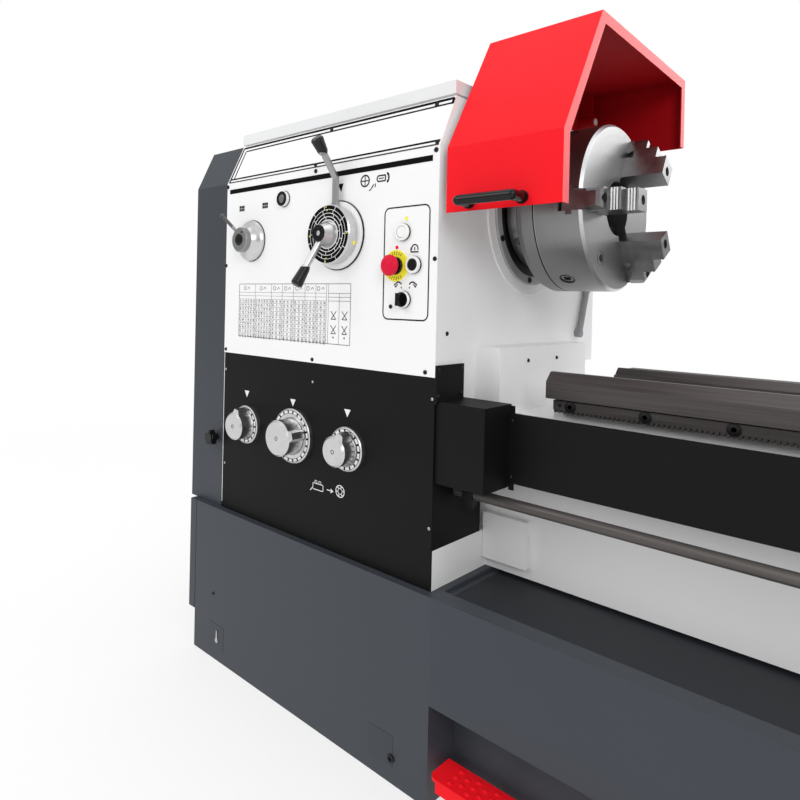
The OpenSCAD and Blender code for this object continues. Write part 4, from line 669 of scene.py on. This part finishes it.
def panel_prints():
    """Symbols, tables and outlines printed on the headstock's front."""
    m = Marks()
    # Stripe below the sloped cover
    m.face([(-633, 1154), (-15, 1154), (-15, 1165), (-633, 1165)])
    # Outline of the control group
    m.frame(-126, 863, -19, 1076, 2.6, 12)
    panel_symbols(m)
    speed_table(m)
    # Pointer above the drum
    m.face([(-256, 1138), (-246, 1121), (-240, 1138)])
    m.piece("panel_prints", "ink", "machine", "black_plastic")
    dots = {"panel_dots_yellow": ("yellow", [(-204, 1018, 4.5), (-73, 1053.5, 4)]),
            "panel_dot_red": ("red", [(-94.6, 1000, 3.6)])}
    for name, (look, spots) in dots.items():
        m = Marks()
        for x, z, r in spots:
            m.disc((x, z), r)
        m.piece(name, look, "machine", "red_plastic")


def panel_symbols(m):
    """Small plain symbols beside the controls."""
    # Two dark tags
    for x in (-582.6, -494):
        for k in range(3):
            for z in (1108, 1115):
                left = x - 10 + 7 * k
                m.face([(left, z), (left + 6, z), (left + 6, z + 6), (left, z + 6)])
    # Workpiece seen from its end and from its side
    m.arc((-180, 1136), 11, 3.0)
    m.path([(-189, 1136), (-171, 1136)], 2.2)
    m.path([(-180, 1145), (-180, 1127)], 2.2)
    m.arc((-172, 1127), 12, 2.2, 285, 345)
    m.path([(-161, 1121), (-157, 1127)], 2.2)
    m.path([(-153, 1121), (-153, 1128)], 2.2)
    m.path([(-146, 1131), (-127, 1131), (-127, 1142), (-146, 1142), (-149, 1136.5)], 2.8, True)
    m.path([(-144, 1136.5), (-131, 1136.5)], 2.0)
    m.arc((-126, 1136.5), 8, 3.0, 290, 430)
    m.path([(-123, 1127), (-119, 1130), (-119, 1143), (-123, 1146)], 3.0)
    # Pump beside the jog button
    m.arc((-52, 996), 7.5, 2.4, -20, 200)
    m.path([(-61, 990), (-43, 990)], 2.6)
    m.path([(-61, 990), (-61, 997), (-57, 1000)], 2.2)
    m.path([(-52, 993), (-52, 999)], 2.2)
    # Two directions of the selector
    for x, flip in ((-89, 1), (-55.5, -1)):
        m.arc((x, 926), 8, 2.6, 25, 155)
        m.path([(x - flip * 10, 931), (x - flip * 7, 924), (x - flip * 2, 930)], 2.0)
        m.path([(x + flip * 6, 925), (x + flip * 8, 922)], 2.0)


def speed_table(m):
    """Ruled table of plain numbers, finely printed."""
    x0, z0, x1, z1 = -586, 805, -213, 931
    split = x1 - 70
    columns = [x0, x0 + 62, x0 + 122, x0 + 160, x0 + 198, x0 + 236, x0 + 270, split]
    rows = [z1 - 20, z1 - 28, z1 - 36] + [z1 - 36 - 9 * k for k in range(1, 11)] + [z0]
    m.frame(x0, z0, x1, z1, 1.0)
    for x in (*columns[1:], split + 6):
        m.line((x, z0), (x, z1), 0.7)
    m.line((split + 38, z0), (split + 38, z1 - 20), 0.7)
    for z in rows[:-1]:
        m.line((x0, z), (split, z), 0.5)
    for z in rows[:3]:
        m.line((split + 6, z), (x1, z), 0.7)
    for i, (left, right) in enumerate(zip(columns, columns[1:])):
        middle = (left + right) / 2
        m.arc((middle - 8, z1 - 10), 4.2, 1.0)
        m.path([(middle + 1, z1 - 13), (middle + 6, z1 - 7), (middle + 10, z1 - 12)], 1.0)
        count = 6 if i < 2 else 3
        for j, (top, low) in enumerate(zip(rows[2:], rows[3:])):
            for k in range(count):
                value = 8 + (i * 37 + j * 11 + k * 5) % 90
                x = left + (right - left) * (k + 0.5) / count
                m.number(str(value), x, (top + low) / 2, 4.2, 0.55)
    for x in (split + 22, x1 - 16):
        for z in (z1 - 66, z1 - 96):
            m.path([(x - 8, z + 9), (x + 7, z - 8), (x - 7, z - 8), (x + 8, z + 9)], 1.5)
        m.disc((x, z1 - 112), 2.0, 8)


def gearbox_prints():
    """White marks on the black lower panel."""
    m = Marks()
    # Pointers above the dials
    for x in (-548, -382, -215):
        m.face([(x - 9, 675), (x, 659), (x + 9, 675)])
    # Gearbox, arrow and screw seen from its end
    m.path([(-312, 492), (-312, 505), (-281, 505), (-281, 492), (-312, 492)], 1.6)
    for x in (-306, -294):
        m.path([(x, 505), (x, 511), (x + 6, 511), (x + 6, 505)], 1.4)
    m.path([(-320, 487), (-314, 494)], 1.6)
    m.path([(-270, 499), (-256, 499)], 1.8)
    m.face([(-258, 504), (-258, 494), (-250, 499)])
    m.arc((-231, 504), 12, 1.8)
    m.arc((-231, 504), 6, 1.4)
    for a in range(0, 360, 60):
        m.arc((-231, 504), 9, 2.4, a, a + 20)
    # Rule along the panel's left edge
    m.line((-641, 388), (-641, 768), 2.0)
    m.piece("gearbox_prints", "white_ink", "machine", "white_plastic")


def header_lines():
    """Dark lines of painted shade in the sloped cover's seams and under its lid, with its rules and
    screws; the lines lie in the slope's own plane.
    """
    foot = (0, HEAD_FRONT, EAVE_Z)
    seam_shade = Marks(foot, X, SLOPE)
    # Black lines that paint the shade in the gaps along the cover's plates and under the lid's front
    # edge.
    for width, points in ((6.0, [(-638, 105.5), (-3, 105.5), (-3, 92)]),
                          (5.5, [(-637.5, 105), (-637.5, 2)]),
                          (4.0, [(-624, 94), (-624, 12)]),
                          (4.0, [(-624, 94.6), (-3, 94.6)]),
                          (4.6, [(-637, 10.8), (-3, 10.8)])):
        seam_shade.path(points, width)
    seam_shade.piece("header_seam_shade", "ink", "machine", "black_plastic")
    rule = Marks(foot, X, SLOPE)
    rule.path([(-637, 1.8), (-3, 1.8)], 3.6)
    rule.piece("header_rules", "grey_ink", "machine", "black_plastic")
    b = Build()
    for x, rise in ((-321, 98.7), (-40, 98.7), (-327.6, 7.6), (-8, 7.6)):
        dome_screw(b, Vector((x, HEAD_FRONT, EAVE_Z)) + SLOPE * rise, X.cross(SLOPE), 4.6)
    for x, z in ((-324, 1173.8), (-641, 1172.6), (-8, 1173)):
        dome_screw(b, (x, HEAD_FRONT, z), -Y, 4.8)
    b.piece("header_screws", "bolt", "machine", "black_paint")


# ---------------------------------------------------------------- controls


def drum_face():
    """Four rings of dark windows with pale bars on the speed drum, and its yellow spots."""
    face = on_front(DRUM, 33)
    windows = Marks(face)
    # Radius of each ring, with its count of windows, its turn and its width
    for k, (r, count, skew, width) in enumerate(
            ((32.5, 8, 10, 4.6), (39.4, 9, 13, 5.8), (46.8, 10, 12, 6.2), (54.8, 11, 9, 7.6))):
        for i in range(count):
            start = 360 * i / count + skew * (k + 1)
            windows.arc((0, 0), r, width, start, start + 360 / count - 85 / r)
    windows.piece("drum_windows", "ink", "range_control", "black_plastic")
    pale = Marks(face, lift=0.15)
    pale.arc((0, 0), 43, 30, n=60)
    pale.piece("drum_face", "white_ink", "range_control", "white_plastic")
    spots = Marks(face, lift=0.5)
    for angle, r in ((92, 49), (95, 56), (182, 53), (268, 49), (266, 56), (0, 55)):
        a = math.radians(angle)
        spots.disc((r * math.cos(a), r * math.sin(a)), 1.6, 10)
    spots.piece("drum_spots", "yellow", "range_control", "white_plastic")


def shadow_rings():
    """Dark rings of painted shade round the feet of the speed drum and of the direction knob."""
    turned_piece(
        "shadow_rings", "black_plastic", "machine", "black_plastic",
        ([(70.2, 0), (72.4, 0.4), (72.4, 2), (70.2, 2.6)], on_front(DRUM), -Y, 96),
        ([(48.2, 0), (49.2, 0.4), (49.2, 1.2), (48.2, 1.6)], on_front(KNOB), -Y, 96))


def drum_trim():
    """Yellow mark on the drum's rim and the cap on its hub."""
    turn = math.radians(-18)
    out = Vector((math.cos(turn), 0, math.sin(turn)))
    turned_piece("drum_mark", "yellow", "range_control", "white_plastic",
                 ([(4.2, 0), (4.2, 0.5), (3.4, 0.8)], on_front(DRUM, 14) + out * 59.8, out, 20))
    turned_piece("drum_hub_cap", "black_plastic", "speed_control", "black_plastic",
                 ([(17.2, 0), (17.2, 2.2), (15.5, 3.6), (7, 3.6), (6, 1.8)],
                  on_front(DRUM, 57.6), -Y, 48))


def knob_skirt():
    """Cone behind the grip of the direction knob, its dark face ring and pin."""
    place = on_front(KNOB)
    turned_piece("knob_skirt", "chrome", "direction_control", "satin_chrome",
                 ([(47.6, 6), (46.5, 8.5), (40, 13), (33, 19), (29.6, 25), (28, 27)],
                  place, -Y, 64))
    turned_piece("knob_ring", "black_plastic", "direction_control", "black_plastic",
                 ([(14, 40), (14, 40.8), (12.8, 41.3), (6, 41.3), (5.6, 40.4)], place, -Y, 40),
                 ([(2.6, 39.8), (2.6, 40.6)], place + Vector((10, 0, 17)), -Y, 12))


def dial_scales():
    """White blocks on a black band round each feed dial, a dark seam, and its centre hole."""
    for side, dial in DIALS.items():
        name, body = "feed_dial_" + side, side + "_feed_control"
        face = on_front((dial.x, DIAL_Z), 12)
        nose = (dial.x, node_box(name)[0][1], DIAL_Z)
        band = Marks(face, lift=0.2)
        band.arc((0, 0), dial.radius - 7, 7.5, n=72)
        band.piece(name + "_band", "ink", body, "black_plastic")
        blocks = Marks(face, lift=0.45)
        step = 360 / dial.blocks
        for i in range(dial.blocks):
            start = step * i + 4
            blocks.arc((0, 0), dial.radius - 7, 5.6, start, start + step * 0.72, 3)
        blocks.piece(name + "_blocks", "white_ink", body, "white_plastic")
        grip = dial.grip_radius
        turned_piece(
            name + "_dark", "black_plastic", body, "black_plastic",
            ([(4.4, -0.5), (4.4, 0.35), (3.2, 0.35), (2.8, -0.2)], nose, -Y, 24),
            ([(grip + 2.2, 0), (grip + 2.2, 0.7), (grip + 0.3, 1.0)], face, -Y, 64))


def stop_ring():
    """Yellow ring around the emergency stop and its dark collar."""
    place = on_front(STOP)
    turned_piece("stop_ring", "yellow", "machine", "white_plastic",
                 ([(30, 0), (30, 1.2), (29.3, 1.8), (17, 1.8), (17, 0.4)], place, -Y, 64))
    turned_piece("stop_collar", "black_plastic", "machine", "black_plastic",
                 ([(16.4, 0), (16.4, 4.2), (15, 5.4), (12.4, 5.4), (12.4, 1.0)], place, -Y, 48))


def stop_ring_marks():
    """Short plain ticks round the yellow ring."""
    m = Marks(on_front(STOP, 1.6))
    for middle in (90, 270):
        for k in range(6):
            angle = math.radians(middle + 13 * (k - 2.5))
            out = Vector((math.cos(angle), math.sin(angle)))
            for r in (21.5, 24.8):
                m.line(out * r, out * (r + 2.0), 2.2)
    m.piece("stop_ring_marks", "ink", "machine", "black_plastic")


def button_bezels():
    """Dark collars, painted shade on the bezels' sides, with pale front rings round the buttons."""
    places = [on_front(at) for at in (START, JOG, MODE)]
    collar = [(16.4, 0), (16.4, 3.4), (12, 3.4), (11.8, 1)]
    ring = [(16, 3.2), (16, 7), (15, 8.2), (11.8, 8.2), (11.6, 3)]
    # The black collars paint the shade on the bezels' sides.
    turned_piece("button_shade_collars", "black_plastic", "machine", "black_plastic",
                 *((collar, place, -Y, 48) for place in places))
    turned_piece("button_rings", "white_plastic", "machine", "white_plastic",
                 *((ring, place, -Y, 48) for place in places))


def sight_glass():
    """Round oil window in a white housing with a dark rim, and a thin dark ring of painted shade
    round the housing's foot.
    """
    place = on_front(SIGHT_GLASS)
    turned_piece("sight_glass_rim_and_foot_shade", "black_plastic", "machine", "black_plastic",
                 # Thin dark ring at the housing's foot: painted shade.
                 ([(18.4, 0), (18.4, 1.2), (16, 1.6)], place, -Y, 48),
                 ([(16.6, 8.4), (16.6, 10), (15.4, 11), (10, 11), (9.6, 9)], place, -Y, 48))
    turned_piece("sight_glass_housing", "white_plastic", "machine", "white_plastic",
                 ([(17, 1), (17.4, 2), (17.4, 8), (16.6, 9)], place, -Y, 48))
    turned_piece("sight_glass_pane", "glass", "machine", "satin_chrome",
                 ([(9.8, 8.8), (9.8, 9.6), (7.6, 10.2), (3, 10.5)], place, -Y, 40))


# ---------------------------------------------------------------- fasteners and trim


def panel_screws():
    """Screws of the front panels, side walls and covers, and the strip beside the cover box."""
    b = Build()
    for x, z in ((-637, 769), (-323, 768), (-22, 769), (-642, 977), (-107, 887), (-6, 976)):
        dome_screw(b, (x, HEAD_FRONT, z), -Y, 4.2)
    for y, z in ((-299, 840), (-299, 1120), (270, 840), (270, 1120)):
        dome_screw(b, (0, y, z), X, 4.2)
    # Flange plate, shoulder of the bed and cover box
    for y, z in ((-328, 775), (-255, 775), (-328, 728), (-255, 728)):
        dome_screw(b, (4, y, z), X, 3.6)
    for y in (-97, 25):
        dome_screw(b, (55.5, y, 785), X, 4.0)
    strip_y = node_box("leadscrew_cover")[0][1] + 88
    for z in (690, 590):
        dome_screw(b, (107, strip_y - 2.4, z), -Y, 3.4)
    # Bolt at the pedestal's foot, and a screw at its left edge
    cap_screw(b, (-67, BASE_FRONT, 47), -Y, 7.5, 4)
    dome_screw(b, (-644, BASE_FRONT, 160), -Y, 4.0)
    b.piece("panel_screws", "bolt", "machine", "black_paint")
    pale = Build()
    for x, z in ((-635, 719), (-320, 720), (-633, 485), (-5, 722), (-6, 487)):
        dome_screw(pale, (x, HEAD_FRONT, z), -Y, 3.0, 1.6)
    pale.piece("gearbox_screws", "zinc", "machine", "satin_chrome")
    strip = Build()
    strip.plate([(102, 566), (112, 566), (112, 716), (102, 716)], (0, strip_y, 0), X, Z, 2.0)
    strip.piece("box_flange_strip", "black", "machine", "black_paint")


def chuck_trim():
    """Pinion rings, rings of a threaded hole that paint the glints of its thread, jaw screws and the
    bearing cap's screws.
    """
    dark, bright = Build(), Build()
    for angle in (0, 120, 240):
        out = from_spindle(angle)
        centre = Vector((125, 0, SPINDLE_Z)) + out * (CHUCK_R - 6)
        dark.lathe([(14.9, 0), (14.9, 5.8), (11.6, 5.8), (11.6, 0.4)], centre, out, 36)
        bright.lathe([(11.4, 0.4), (11.4, 4.2), (8.6, 4.2), (8.4, 0.6)], centre, out, 32)
        socket = hexagon(5.6)
        dark.lathe([(8.2, 0.5), (8.2, 2.2), (socket, 2.2), (socket, 0.6)], centre, out)
    # Alternating dark and bright rings in the threaded hole: painted reflection of its thread.
    hole = from_spindle(234) * 125 + Vector((CHUCK_FACE, 0, SPINDLE_Z))
    for k in range(5):
        r = 14 - 1.5 * k
        ring = bright if k % 2 else dark
        ring.lathe([(r, -0.4), (r, 0.2 + 0.08 * k), (r - 0.4, 0.3 + 0.08 * k)], hole, X, 32)
    dark.piece("chuck_dark_rings", "bolt", "spindle_unit", "black_paint")
    bright.piece("chuck_bright_rings", "zinc", "spindle_unit", "satin_chrome")
    for number, (letter, angle) in enumerate(JAW_ANGLES.items(), 1):
        screws = Build()
        for r, top in ((80, 262), (144, 220)):
            place = Vector((top - 15.5, 0, SPINDLE_Z)) + from_spindle(angle) * r
            cap_screw(screws, place, X, 8.2, 10)
        screws.piece("jaw_%d_screws" % number, "bolt", "jaw_" + letter, "black_paint")
    cap = Build()
    for k in range(6):
        place = Vector((9, 0, SPINDLE_Z)) + from_spindle(205 + 60 * k) * 140
        cap_screw(cap, place, X, 6.4, 2.4)
    cap.piece("cap_screws", "bolt", "machine", "black_paint")


def guard_end():
    """Closed end of the chuck guard, above the spindle nose."""
    b = Build()
    b.plate([(-254, 1300), (-198, 1393), (224, 1380), (224, 1300)], (18.5, 0, 0), Y, Z, 2.0)
    b.piece("guard_end_plate", "guard", "guard", "red_paint")


def foundation_marks():
    """Two darker squares on the left pedestal, painted shade of its bolt recesses, and the bright
    head and slot of a bolt in the left one.
    """
    patch, bolt = Build(), Build()
    # Squares a little darker than the cabinet paint: painted shade of the recesses.
    for x in (-625, -90):
        patch.plate([(x - 34, 30), (x + 26, 30), (x + 26, 88), (x - 34, 88)], (0, BASE_FRONT, 0),
                    X, Z, 0.5)
    bolt.lathe([(6, 0), (6, 2), (4.6, 3)], (-625, BASE_FRONT - 0.5, 50), -Y, 20)
    bolt.plate([(-628, 52), (-622, 52), (-623, 74), (-627, 74)], (0, BASE_FRONT - 0.5, 0),
               X, Z, 2.0)
    patch.piece("foundation_recess_shade", "door", "machine", "cabinet")
    bolt.piece("foundation_bolt", "zinc", "machine", "satin_chrome")


def tread_bumps():
    """Raised bumps that keep a shoe from slipping on the brake tread, three and two to a row."""
    low, high = node_box("brake_pedal")
    margin, step = 90, 17
    b = Build()
    for row in range(math.ceil((high[0] - low[0] - 2 * margin) / step)):
        x = low[0] + margin + step * row
        odd = row % 2
        for k in range(3 - odd):
            y = HEAD_FRONT - 12 - 9 * odd - 18 * k
            b.lathe([(5, -0.3), (4.4, 1.2), (2.6, 2.3), (0.8, 2.6)], (x, y, high[2] - 0.05), Z, 10)
    b.piece("tread_bumps", "red", "pedal", "red_paint")


def rack_bolts():
    """Screws that hold the rack below the front way, each on a dark disc of painted shade for its
    counterbore, and a pin before the first.
    """
    low, high = node_box("rack")
    b = Build()
    for x in range(180, math.ceil(high[0] - 30), 127):
        # Dark disc round each screw: painted shade of its counterbore.
        b.lathe([(10.5, 0), (10.5, 0.6), (9.6, 0.9)], (x, low[1], 716), -Y, 28)
        cap_screw(b, (x, low[1], 716), -Y, 7.4, 3.0)
    b.lathe([(3.5, 0), (3.5, 0.6), (2.4, 0.9)], (161, low[1], 717), -Y, 16)
    b.piece("rack_bolts", "bolt", "machine", "black_paint")


FINISH = {**paint_finishes(), **metal_finishes(), **plastic_finishes()}
add_stage()
add_camera()
dress_nodes()
panel_prints()
gearbox_prints()
header_lines()
drum_face()
shadow_rings()
drum_trim()
knob_skirt()
dial_scales()
panel_screws()
chuck_trim()
stop_ring()
stop_ring_marks()
button_bezels()
sight_glass()
guard_end()
foundation_marks()
tread_bumps()
rack_bolts()
